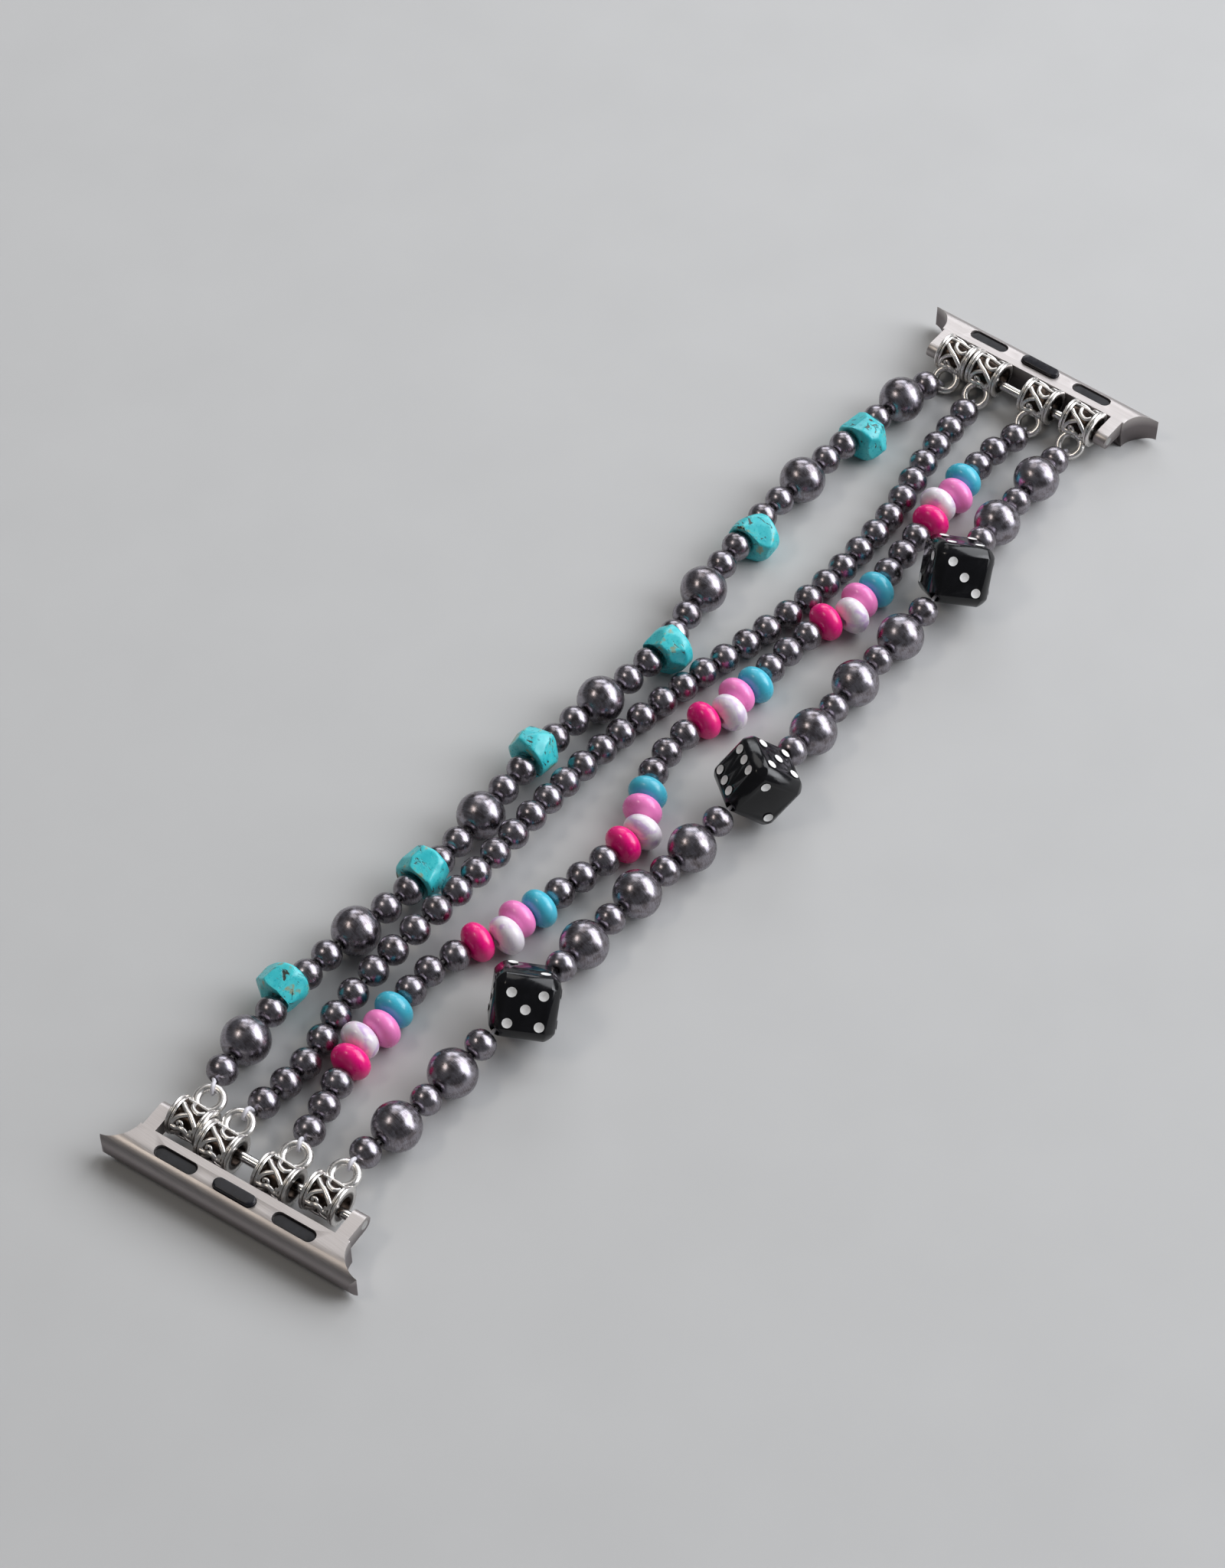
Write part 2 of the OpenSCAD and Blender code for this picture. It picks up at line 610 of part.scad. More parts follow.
// A cord's loop round the band side of a ring: out above the wire, down its hole and back below.
loop_r = (ring_wire_d + cord_d) / 2 + loop_gap;
function loop(end, s) = let (
        centre = ring_at(end, s),
        c = PLACES[s],
        n = len(c) - 1,
        bead_end = end == "near" ? c[0] : c[n],
        flat = unit([bead_end.x - centre.x, bead_end.y - centre.y, 0]),
        tilt = end == "near" ? near_tilt : -far_tilt,
        way = unit([flat.x * cos(tilt), flat.y * cos(tilt), sin(tilt)]),
        up = unit([-flat.x * sin(tilt), -flat.y * sin(tilt), cos(tilt)]),
        wire = centre + way * (ring_d - ring_wire_d) / 2,
        aim = bead_end + (end == "near" ? -turn_of(s, 0) : turn_of(s, n)) * small_len / 2 - wire,
        lead = atan2(aim * up, aim * way))
    [for (a = [80 : 40 : 280]) wire + loop_r * (way * cos(lead + a) + up * sin(lead + a))];

// The cord's way through a strand: from gap to gap between its beads, and hooked round a ring at each end.
function gap_at(s, k) = let (c = PLACES[s], b = BEADS[s])
    (c[k] + turn_of(s, k) * run_of(b[k]) / 2 + c[k + 1] - turn_of(s, k + 1) * run_of(b[k + 1]) / 2) / 2;
function cord_way(s) = let (
        c = PLACES[s],
        n = len(c) - 1,
        near = loop("near", s),
        rise = [0, 0, (pearl_hole_d - cord_d) / 2 - 0.15],
        out = small_len / 2,
        near_way = turn_of(s, 0),
        far_way = turn_of(s, n))
    concat(
        [c[0] - out / 2 * near_way - rise, c[0] - out * near_way - rise],
        [for (k = [len(near) - 1 : -1 : 0]) near[k]],
        [c[0] - out * near_way + rise, c[0]],
        [for (k = [0 : n - 1]) gap_at(s, k)],
        [c[n], c[n] + out * far_way + rise],
        loop("far", s),
        [c[n] + out * far_way - rise, c[n] + out / 2 * far_way - rise]);

module cord(s) {
    way = cord_way(s);
    n = len(way) - 1;
    points = [for (k = [0 : n]) let (
            ahead = unit(way[min(k + 1, n)] - way[max(k - 1, 0)]),
            side = unit(cross(ahead, [0.1, 1, 0.2])),
            up = cross(side, ahead))
        for (j = [0 : 7]) way[k] + cord_d / 2 * (side * cos(45 * j) + up * sin(45 * j))];
    color("lavender", 0.6)
        tube(points, 8);
}

color("darkgray") near_place() frame_body();  // near_frame
color("#2b2b2b") near_place() side_pads();  // near_side_pads
color("#3a3a3a") near_place() latch_button();  // near_latch_button
color("gray") near_place() latch_spring();  // near_latch_spring
color("lightgray") near_place() bar();  // near_bar
near_bail(1);  // near_bail_1
near_bail(2);  // near_bail_2
near_bail(3);  // near_bail_3
near_bail(4);  // near_bail_4
color("darkgray") far_place() frame_body();  // far_frame
color("#2b2b2b") far_place() side_pads();  // far_side_pads
color("#3a3a3a") far_place() latch_button();  // far_latch_button
color("gray") far_place() latch_spring();  // far_latch_spring
color("lightgray") far_place() bar();  // far_bar
far_bail(1);  // far_bail_1
far_bail(2);  // far_bail_2
far_bail(3);  // far_bail_3
far_bail(4);  // far_bail_4
cord(1);  // cord_1
cord(2);  // cord_2
cord(3);  // cord_3
cord(4);  // cord_4
pearls("row_01_near");  // row_01_near
pearls("row_01_far");  // row_01_far
pearls("row_02");  // row_02
pearls("row_03_near");  // row_03_near
pearls("row_03_far");  // row_03_far
pearls("row_04");  // row_04
pearls("row_05_near");  // row_05_near
pearls("row_05_far");  // row_05_far
pearls("row_06");  // row_06
pearls("row_07_near");  // row_07_near
pearls("row_07_far");  // row_07_far
pearls("row_08");  // row_08
pearls("row_09_near");  // row_09_near
pearls("row_09_far");  // row_09_far
pearls("row_10");  // row_10
pearls("row_11_near");  // row_11_near
pearls("row_11_far");  // row_11_far
pearls("row_12");  // row_12
pearls("row_13_near");  // row_13_near
pearls("row_13_far");  // row_13_far
chip_bead(1);  // chip_1
chip_bead(2);  // chip_2
chip_bead(3);  // chip_3
chip_bead(4);  // chip_4
chip_bead(5);  // chip_5
chip_bead(6);  // chip_6
die_bead(1);  // die_1
die_bead(2);  // die_2
die_bead(3);  // die_3
color_set(1);  // color_set_1
color_set(2);  // color_set_2
color_set(3);  // color_set_3
color_set(4);  // color_set_4
color_set(5);  // color_set_5
color_set(6);  // color_set_6
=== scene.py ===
"""Stretch watch band: four strands of pearls, chips, dice and coloured beads between two lug adapters."""

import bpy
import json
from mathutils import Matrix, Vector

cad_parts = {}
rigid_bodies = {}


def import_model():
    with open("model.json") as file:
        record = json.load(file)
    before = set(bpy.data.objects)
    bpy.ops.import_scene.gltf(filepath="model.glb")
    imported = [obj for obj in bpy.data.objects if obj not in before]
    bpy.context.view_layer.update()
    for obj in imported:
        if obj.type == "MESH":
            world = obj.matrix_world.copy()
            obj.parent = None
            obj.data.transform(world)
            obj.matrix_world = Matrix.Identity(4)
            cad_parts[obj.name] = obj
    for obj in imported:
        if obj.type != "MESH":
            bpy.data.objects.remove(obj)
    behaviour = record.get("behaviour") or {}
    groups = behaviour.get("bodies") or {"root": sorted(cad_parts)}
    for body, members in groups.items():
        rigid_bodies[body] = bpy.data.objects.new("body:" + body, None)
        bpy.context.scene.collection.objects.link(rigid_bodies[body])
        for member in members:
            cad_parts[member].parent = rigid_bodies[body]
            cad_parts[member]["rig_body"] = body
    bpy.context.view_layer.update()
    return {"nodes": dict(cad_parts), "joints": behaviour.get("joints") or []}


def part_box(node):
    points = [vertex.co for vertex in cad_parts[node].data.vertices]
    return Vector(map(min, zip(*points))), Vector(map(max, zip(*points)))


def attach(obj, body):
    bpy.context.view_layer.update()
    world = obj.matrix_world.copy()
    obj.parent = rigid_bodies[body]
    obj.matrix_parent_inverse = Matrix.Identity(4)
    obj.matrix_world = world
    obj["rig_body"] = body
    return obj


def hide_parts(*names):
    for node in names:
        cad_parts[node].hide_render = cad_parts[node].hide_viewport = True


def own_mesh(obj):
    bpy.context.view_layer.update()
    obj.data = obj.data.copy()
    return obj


bl_info = {
    "name": "Stretch Watch Band",
    "version": (1, 0, 0),
    "blender": (4, 5, 0),
    "location": "View3D > Sidebar > Watch Band",
    "description": "Dresses the packed watch band with its finishes, cords, beads, bails and adapters",
    "category": "Object",
}

import json
import math
import random

import bmesh
import bpy
from mathutils import Matrix, Vector, noise

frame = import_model()

MM = 0.001
STRANDS = (1, 2, 3, 4)
SETS = range(1, 7)
ROWS = [
    "row_01_near", "row_01_far", "row_02", "row_03_near", "row_03_far", "row_04", "row_05_near",
    "row_05_far", "row_06", "row_07_near", "row_07_far", "row_08", "row_09_near", "row_09_far",
    "row_10", "row_11_near", "row_11_far", "row_12", "row_13_near", "row_13_far",
]
BEAD_COLOURS = ["hot_pink", "marble", "light_pink", "turquoise"]
ENDS = ["near", "far"]


def colour_setting(name, description, default):
    return bpy.props.FloatVectorProperty(
        name=name, description=description, default=default, subtype="COLOR", size=3, min=0, max=1)


def length_setting(name, description, default, low, high):
    """A length, with its default and its limits in millimetres."""
    return bpy.props.FloatProperty(
        name=name, description=description, default=default * MM, min=low * MM, max=high * MM, unit="LENGTH",
        precision=5)


class BeadSettings(bpy.types.PropertyGroup):
    metal_dark: colour_setting(
        "Pearl shade", "Colour of a pearl's antiqued grooves and ends", (0.085, 0.072, 0.070))
    metal_light: colour_setting("Pearl light", "Colour of a pearl's brushed metal", (0.370, 0.360, 0.400))
    hot_pink: colour_setting("Hot pink", "Colour of the hot pink beads", (0.92, 0.003, 0.22))
    marble: colour_setting("Marble", "Ground colour of the marbled beads", (0.84, 0.78, 0.83))
    light_pink: colour_setting("Light pink", "Colour of the light pink beads", (0.98, 0.24, 0.60))
    turquoise: colour_setting("Turquoise bead", "Colour of the turquoise beads", (0.06, 0.50, 0.66))
    chip: colour_setting("Turquoise chip", "Colour of the turquoise chips", (0.030, 0.52, 0.58))
    cord: colour_setting("Cord", "Colour of the elastic cord", (0.88, 0.86, 0.92))


class DieSettings(bpy.types.PropertyGroup):
    edge: length_setting("Edge", "Edge length of a die", 8, 7, 9)
    rounding: length_setting("Rounding", "Radius of a die's edges", 1.25, 0.5, 1.6)
    pip_width: length_setting("Pip width", "Diameter of a pip", 1.3, 0.8, 1.5)
    pip_pitch: length_setting(
        "Pip pitch", "Distance from a face's middle to a corner pip, along an edge", 1.87, 1.5, 2.2)
    bore: length_setting("Bore", "Diameter of the hole from corner to corner", 1.3, 1.1, 2.2)
    shade: colour_setting("Shade", "Colour of the dice", (0.004, 0.004, 0.005))


class BailSettings(bpy.types.PropertyGroup):
    rim_width: length_setting("Rim diameter", "Diameter of a barrel's end rims", 5, 4.8, 5.2)
    ground_width: length_setting(
        "Ground diameter", "Diameter of the sunk ground under the scrolls", 4.06, 3.8, 4.4)
    bore: length_setting("Bore", "Diameter of a barrel's bore", 2.6, 2.4, 2.8)
    length: length_setting("Barrel length", "Length of a barrel", 4.6, 4.2, 4.8)
    scroll: length_setting("Scroll thickness", "Radius of the raised scrolls", 0.25, 0.1, 0.3)
    ring_reach: length_setting(
        "Ring reach", "Distance from the barrel's axis to the ring's centre", 3.32, 3.2, 3.6)
    ring_width: length_setting("Ring diameter", "Outer diameter of the ring", 4.15, 3.4, 4.3)
    ring_wire: length_setting("Ring wire", "Diameter of the ring's wire", 1.05, 0.6, 1.2)
    near_tilt: bpy.props.FloatProperty(
        name="Near tilt", description="Upward tilt of the near rings", subtype="ANGLE",
        default=math.radians(8), min=0, max=math.radians(20))
    far_tilt: bpy.props.FloatProperty(
        name="Far tilt", description="Downward tilt of the far rings", subtype="ANGLE",
        default=math.radians(38), min=0, max=math.radians(45))


class StageSettings(bpy.types.PropertyGroup):
    floor: colour_setting("Floor", "Colour of the floor", (0.52, 0.52, 0.515))
    window: bpy.props.FloatProperty(
        name="Window", description="Power of the long soft lamp", unit="POWER", default=15.0, min=0, max=40)
    lamp: bpy.props.FloatProperty(
        name="Lamp", description="Power of the small warm lamp", unit="POWER", default=1.0, min=0, max=20)
    sky: bpy.props.FloatProperty(
        name="Sky", description="Strength of the even light from all round", default=0.12, min=0, max=2)


# ---------------------------------------------------------------- materials


def new_material(name, base, roughness, metallic=0.0, **sockets):
    """A principled material; the other values go on the shader's own sockets."""
    material = bpy.data.materials.new(f"{name}_finish")
    material.use_nodes = True
    shader = material.node_tree.nodes["Principled BSDF"]
    shader.inputs["Base Color"].default_value = (*base, 1)
    shader.inputs["Roughness"].default_value = roughness
    shader.inputs["Metallic"].default_value = metallic
    for socket, value in sockets.items():
        shader.inputs[socket.replace("_", " ")].default_value = value
    return material


class Recipe:
    """Adds nodes to a material, and joins them."""

    def __init__(self, material):
        self.tree = material.node_tree
        self.shader = self.tree.nodes["Principled BSDF"]

    def add(self, kind, **values):
        node = self.tree.nodes.new(kind)
        for name, value in values.items():
            setattr(node, name, value)
        return node

    def join(self, start, end):
        self.tree.links.new(start, end)

    def place(self, attribute=None, scale=(1, 1, 1), rotation=(0, 0, 0)):
        """A point on the surface, from object coordinates or from the piece's own attribute."""
        if attribute:
            start = self.add("ShaderNodeAttribute", attribute_name=attribute).outputs["Vector"]
        else:
            start = self.add("ShaderNodeTexCoord").outputs["Object"]
        mapping = self.add("ShaderNodeMapping")
        mapping.inputs["Scale"].default_value = scale
        mapping.inputs["Rotation"].default_value = rotation
        self.join(start, mapping.inputs["Vector"])
        return mapping.outputs["Vector"]

    def noise(self, place, scale, detail=3, roughness=0.5, distortion=0.0):
        node = self.add("ShaderNodeTexNoise")
        node.inputs["Scale"].default_value = scale
        node.inputs["Detail"].default_value = detail
        node.inputs["Roughness"].default_value = roughness
        node.inputs["Distortion"].default_value = distortion
        self.join(place, node.inputs["Vector"])
        return node.outputs["Fac"]

    def ramp(self, factor, *stops):
        """Colour or grey by factor; each stop is (position, value)."""
        node = self.add("ShaderNodeValToRGB")
        for k, (position, value) in enumerate(stops):
            spot = node.color_ramp.elements[k] if k < 2 else node.color_ramp.elements.new(position)
            spot.position = position
            spot.color = (value, value, value, 1) if isinstance(value, (int, float)) else (*value, 1)
        self.join(factor, node.inputs["Fac"])
        return node.outputs["Color"]

    def mix(self, factor, first, second, blend="MIX"):
        node = self.add("ShaderNodeMix", data_type="RGBA", blend_type=blend)
        for socket, value in ((node.inputs[0], factor), (node.inputs[6], first), (node.inputs[7], second)):
            if isinstance(value, bpy.types.NodeSocket):
                self.join(value, socket)
            elif isinstance(value, (int, float)):
                socket.default_value = value
            else:
                socket.default_value = (*value, 1)
        return node.outputs[2]

    def bump(self, height, strength, distance, after=None):
        node = self.add("ShaderNodeBump")
        node.inputs["Strength"].default_value = strength
        node.inputs["Distance"].default_value = distance
        self.join(height, node.inputs["Height"])
        if after:
            self.join(after, node.inputs["Normal"])
        return node.outputs["Normal"]

    def finish(self, colour=None, roughness=None, normal=None):
        for value, socket in ((colour, "Base Color"), (roughness, "Roughness"), (normal, "Normal")):
            if value:
                self.join(value, self.shader.inputs[socket])


def pearl_metal():
    """Antiqued dark silver, brushed round the cord, with darker ends."""
    look = bpy.context.scene.watch_band_beads
    material = new_material("pearl_metal", look.metal_light, 0.2, 1.0)
    r = Recipe(material)
    lines = r.noise(r.place("bead_place", (9, 0.8, 0.8)), 1.0, 3, 0.6)
    blots = r.noise(r.place("bead_place", (0.9, 1.1, 1.1)), 1.0, 3, 0.55, 0.4)
    tone = r.mix(0.45, r.ramp(blots, (0.30, 0.0), (0.56, 1.0)), r.ramp(lines, (0.32, 0.2), (0.66, 1.0)))
    ends = r.add("ShaderNodeAttribute", attribute_name="bead_end").outputs["Fac"]
    colour = r.mix(tone, look.metal_dark, look.metal_light)
    colour = r.mix(r.ramp(ends, (0.72, 0.0), (1.0, 0.85)), colour, tuple(0.4 * c for c in look.metal_dark))
    colour = r.mix(0.6, colour, r.mix(blots, (1.0, 0.86, 0.82), (0.94, 0.95, 1.0)), "MULTIPLY")
    rough = r.ramp(r.mix(0.5, blots, lines), (0.3, 0.21), (0.7, 0.33))
    normal = r.bump(lines, 0.10, 0.012 * MM)
    normal = r.bump(blots, 0.25, 0.05 * MM, normal)
    r.finish(colour, rough, normal)
    return material


def bead_gloss(name, base):
    """Opaque glazed bead with a faint cloudiness."""
    material = new_material(f"bead_{name}", base, 0.28, 0.0, Specular_IOR_Level=0.5, Coat_Weight=0.25,
                            Coat_Roughness=0.12)
    r = Recipe(material)
    cloud = r.noise(r.place("bead_place", (0.7, 0.7, 0.7)), 1.0, 3)
    pale = tuple(min(1, 0.85 * c + 0.09) for c in base)
    if name == "marble":
        swirl = r.noise(r.place("bead_place", (0.55, 0.38, 0.38)), 1.0, 2, 0.5, 0.9)
        colour = r.mix(r.ramp(swirl, (0.50, 0.0), (0.66, 0.8)), base, (0.62, 0.40, 0.72))
        colour = r.mix(r.ramp(swirl, (0.34, 0.6), (0.42, 0.0)), colour, (0.84, 0.62, 0.76))
        colour = r.mix(r.ramp(cloud, (0.66, 0.0), (0.72, 0.5)), colour, (0.80, 0.56, 0.26))
    else:
        colour = r.mix(r.ramp(cloud, (0.45, 0.0), (0.8, 0.4)), base, pale)
    normal = r.bump(cloud, 0.25, 0.05 * MM)
    r.finish(colour, r.ramp(cloud, (0.3, 0.24), (0.7, 0.36)), normal)
    return material


def chip_stone():
    """Polished turquoise with ochre patches and dark brown matrix."""
    base = bpy.context.scene.watch_band_beads.chip
    material = new_material("turquoise_stone", base, 0.32, 0.0, Specular_IOR_Level=0.5, Coat_Weight=0.15,
                            Coat_Roughness=0.2)
    r = Recipe(material)
    wide = r.noise(r.place("bead_place", (0.5, 0.5, 0.5)), 1.0, 4, 0.55)
    fine = r.noise(r.place("bead_place", (2.4, 2.4, 2.4)), 1.0, 4, 0.6)
    veins = r.noise(r.place("bead_place", (1.1, 0.5, 0.6)), 1.0, 4, 0.65, 0.9)
    colour = r.mix(r.ramp(wide, (0.35, 0.0), (0.7, 1.0)), base, (0.08, 0.66, 0.68))
    colour = r.mix(r.ramp(fine, (0.30, 0.5), (0.5, 0.0)), colour, (0.015, 0.36, 0.43))
    colour = r.mix(r.ramp(wide, (0.60, 0.0), (0.66, 0.7)), colour, (0.36, 0.27, 0.10))
    colour = r.mix(r.ramp(veins, (0.60, 0.0), (0.64, 0.95)), colour, (0.035, 0.020, 0.010))
    pits = r.ramp(veins, (0.58, 1.0), (0.65, 0.0))
    normal = r.bump(pits, 0.5, 0.10 * MM)
    normal = r.bump(fine, 0.15, 0.06 * MM, normal)
    r.finish(colour, r.ramp(fine, (0.3, 0.24), (0.7, 0.40)), normal)
    return material


def die_gloss():
    """Black resin, polished, with faint wear."""
    shade = bpy.context.scene.watch_band_dice.shade
    material = new_material("die_black", shade, 0.1, 0.0, Specular_IOR_Level=0.4)
    r = Recipe(material)
    wear = r.noise(r.place(), 420, 5, 0.65)
    scuffs = r.noise(r.place(scale=(1, 4, 1), rotation=(0.4, 0.3, 0.6)), 900, 3, 0.7)
    colour = r.mix(r.ramp(wear, (0.5, 0.0), (0.8, 0.5)), shade, (0.012, 0.012, 0.015))
    rough = r.ramp(r.mix(0.5, wear, scuffs), (0.4, 0.10), (0.72, 0.30))
    r.finish(colour, rough, r.bump(scuffs, 0.12, 0.03 * MM))
    return material


def pip_paint():
    """White paint, a little uneven."""
    material = new_material("pip_white", (0.86, 0.85, 0.83), 0.5)
    r = Recipe(material)
    grain = r.noise(r.place(), 2600, 3)
    r.finish(r.mix(r.ramp(grain, (0.35, 0.0), (0.75, 1.0)), (0.86, 0.85, 0.83), (0.70, 0.69, 0.68)),
             r.ramp(grain, (0.3, 0.42), (0.7, 0.6)), r.bump(grain, 0.3, 0.03 * MM))
    return material


# Heights between which the painted shade on an adapter's steel fades out: strongest on its lower sides, none
# on its top.
PAINTED_SHADE_BELOW, PAINTED_SHADE_ENDS_ABOVE = 2.6 * MM, 4.3 * MM


def adapter_steel(end, yaw):
    """Warm stainless steel, brushed along the rail, with painted shade that darkens it down its sides."""
    material = new_material(f"adapter_steel_{end}", (0.60, 0.56, 0.54), 0.3, 1.0)
    r = Recipe(material)
    brushed = r.noise(r.place(scale=(60, 1, 60), rotation=(0, 0, -yaw)), 150, 3, 0.65)
    broad = r.noise(r.place(), 160, 3, 0.5)
    height = r.add("ShaderNodeSeparateXYZ")
    r.join(r.add("ShaderNodeTexCoord").outputs["Object"], height.inputs["Vector"])
    depth = r.add("ShaderNodeMapRange")
    r.join(height.outputs["Z"], depth.inputs["Value"])
    depth.inputs["From Min"].default_value = PAINTED_SHADE_BELOW
    depth.inputs["From Max"].default_value = PAINTED_SHADE_ENDS_ABOVE
    colour = r.mix(r.ramp(brushed, (0.3, 0.0), (0.7, 1.0)), (0.49, 0.455, 0.44), (0.60, 0.565, 0.55))
    colour = r.mix(r.ramp(broad, (0.3, 0.0), (0.7, 0.3)), colour, (0.50, 0.46, 0.45))
    # Painted shade: below the sides' upper edge the colour goes towards a dark mauve grey, which stands in for
    # the shade on the low, outward-facing sides.
    colour = r.mix(r.ramp(depth.outputs["Result"], (0.0, 0.85), (1.0, 0.0)), colour, (0.19, 0.165, 0.17))
    rough = r.ramp(r.mix(0.5, brushed, broad), (0.3, 0.36), (0.7, 0.48))
    r.finish(colour, rough, r.bump(brushed, 0.10, 0.02 * MM))
    return material


def bright_steel(name, base, roughness):
    """Plain drawn steel of the bars and coils."""
    material = new_material(name, base, roughness, 1.0)
    r = Recipe(material)
    drawn = r.noise(r.place(scale=(4, 1, 4)), 900, 3, 0.6)
    r.finish(r.mix(r.ramp(drawn, (0.3, 0.0), (0.7, 1.0)), tuple(0.86 * c for c in base), base),
             r.ramp(drawn, (0.3, 0.8 * roughness), (0.7, 1.3 * roughness)), r.bump(drawn, 0.1, 0.02 * MM))
    return material


def pad_rubber(name, base, roughness):
    """Dark moulded rubber with a fine grain."""
    material = new_material(name, base, roughness, 0.0, Specular_IOR_Level=0.3)
    r = Recipe(material)
    grain = r.noise(r.place(), 5200, 3, 0.6)
    broad = r.noise(r.place(), 500, 3)
    colour = r.mix(r.ramp(broad, (0.35, 0.0), (0.7, 1.0)), base, tuple(1.7 * c + 0.006 for c in base))
    r.finish(colour, r.ramp(broad, (0.3, 0.85 * roughness), (0.7, 1.15 * roughness)),
             r.bump(grain, 0.25, 0.02 * MM))
    return material


def bail_silver():
    """Cast silver: bright on its raised scrolls and rims, brown-black in its sunk ground."""
    material = new_material("bail_silver", (0.70, 0.68, 0.65), 0.22, 1.0)
    r = Recipe(material)
    raised = r.add("ShaderNodeAttribute", attribute_name="raised").outputs["Fac"]
    cast = r.noise(r.place(), 900, 4, 0.6)
    fine = r.noise(r.place(), 3400, 3, 0.6)
    bright = r.mix(r.ramp(cast, (0.35, 0.0), (0.72, 1.0)), (0.90, 0.88, 0.85), (0.74, 0.71, 0.68))
    ground = r.mix(r.ramp(cast, (0.45, 0.0), (0.70, 1.0)), (0.022, 0.016, 0.013), (0.10, 0.075, 0.06))
    colour = r.mix(r.ramp(raised, (0.30, 0.0), (0.62, 1.0)), ground, bright)
    rough = r.ramp(r.mix(0.5, cast, fine), (0.3, 0.22), (0.7, 0.38))
    normal = r.bump(cast, 0.3, 0.06 * MM)
    r.finish(colour, rough, r.bump(fine, 0.2, 0.02 * MM, normal))
    return material


def cord_elastic():
    """Clear elastic, pale lilac, with a soft shine."""
    base = bpy.context.scene.watch_band_beads.cord
    material = new_material("elastic_cord", base, 0.3, 0.0, Transmission_Weight=0.2, IOR=1.45)
    r = Recipe(material)
    cloud = r.noise(r.place(), 1800, 3)
    r.finish(r.mix(r.ramp(cloud, (0.35, 0.0), (0.7, 1.0)), base, tuple(0.82 * c for c in base)),
             r.ramp(cloud, (0.3, 0.25), (0.7, 0.4)))
    return material


def material(name, make, *words):
    """The material of that name, made once."""
    return bpy.data.materials.get(f"{name}_finish") or make(*words)


# ---------------------------------------------------------------- shapes


def as_mesh(bm, name):
    """Turns a bmesh into a mesh, and frees it."""
    mesh = bpy.data.meshes.new(name)
    bm.to_mesh(mesh)
    bm.free()
    return mesh


def add_mesh(bm, mesh):
    """Adds a mesh to a bmesh; gives the new vertices."""
    start = len(bm.verts)
    bm.from_mesh(mesh)
    bm.verts.ensure_lookup_table()
    return bm.verts[start:]


def outline_of(bm, points):
    """A closed outline through points: its vertices and edges."""
    verts = [bm.verts.new(point) for point in points]
    return verts + [bm.edges.new(pair) for pair in zip(verts, verts[1:] + verts[:1])]


def full_turn(bm, outline, axis, steps):
    """Spins an outline once round an axis through the origin, and joins its seam."""
    bmesh.ops.spin(bm, geom=outline, cent=(0, 0, 0), axis=axis, dvec=(0, 0, 0), angle=2 * math.pi, steps=steps,
                   use_merge=True, use_duplicate=False)
    bmesh.ops.remove_doubles(bm, verts=bm.verts, dist=1e-7)


def round_over(bm, edges, width, segments):
    """Rounds edges over."""
    bmesh.ops.bevel(bm, geom=edges, offset=width, offset_type="OFFSET", affect="EDGES", segments=segments,
                    profile=0.5, material=-1, clamp_overlap=True)


def row_of(node):
    """The body that a CAD node belongs to."""
    return frame["nodes"][node]["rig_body"]


def piece(name, bm, surface, body, replaces=()):
    """Turns a bmesh into a finished piece that rides on a body."""
    mesh = as_mesh(bm, name)
    mesh.shade_smooth()
    mesh.materials.append(surface)
    thing = bpy.data.objects.new(name, mesh)
    bpy.context.scene.collection.objects.link(thing)
    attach(thing, body)
    for node in replaces:
        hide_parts(node)
    return thing


def merged_copy(node):
    """A bmesh copy of a CAD node, with its loose triangles joined."""
    bm = bmesh.new()
    bm.from_mesh(frame["nodes"][node].data)
    for layer in list(bm.loops.layers.uv):
        bm.loops.layers.uv.remove(layer)
    bmesh.ops.remove_doubles(bm, verts=bm.verts, dist=1e-6)
    return bm


def solids_of(node):
    """The separate solids of a CAD node, near end first: middle, axis, and half length of each."""
    bm = merged_copy(node)
    left, found = set(bm.verts), []
    while left:
        group, queue = set(), [left.pop()]
        while queue:
            vert = queue.pop()
            group.add(vert)
            for edge in vert.link_edges:
                other = edge.other_vert(vert)
                if other in left:
                    left.remove(other)
                    queue.append(other)
        found.append(group)
    spots = []
    for group in found:
        low = Vector([min(v.co[i] for v in group) for i in range(3)])
        high = Vector([max(v.co[i] for v in group) for i in range(3)])
        middle = (low + high) / 2
        spread = Matrix(((0, 0, 0), (0, 0, 0), (0, 0, 0)))
        for face in {f for v in group for f in v.link_faces}:
            n = face.normal
            if n.dot(face.calc_center_median() - middle) < 0:
                for i in range(3):
                    for j in range(3):
                        spread[i][j] += face.calc_area() * n[i] * n[j]
        way = bore_axis(spread)
        spots.append((middle, way, max(abs((v.co - middle).dot(way)) for v in group)))
    bm.free()
    return sorted(spots, key=lambda spot: spot[0].x)


def bore_axis(spread):
    """The direction that is square to a bore's wall, pointing to the far end."""
    total = spread[0][0] + spread[1][1] + spread[2][2]
    turned = Matrix([[total * (i == j) - spread[i][j] for j in range(3)] for i in range(3)])
    way = Vector((1, 0.01, 0.02))
    for _ in range(60):
        way = (turned @ way).normalized()
    return way if way.x > 0 else -way


def turned_to(way, roll):
    """A turn that takes X to a direction, after a roll about X."""
    swing = Vector((1, 0, 0)).rotation_difference(way).to_matrix().to_4x4()
    return swing @ Matrix.Rotation(roll, 4, "X")


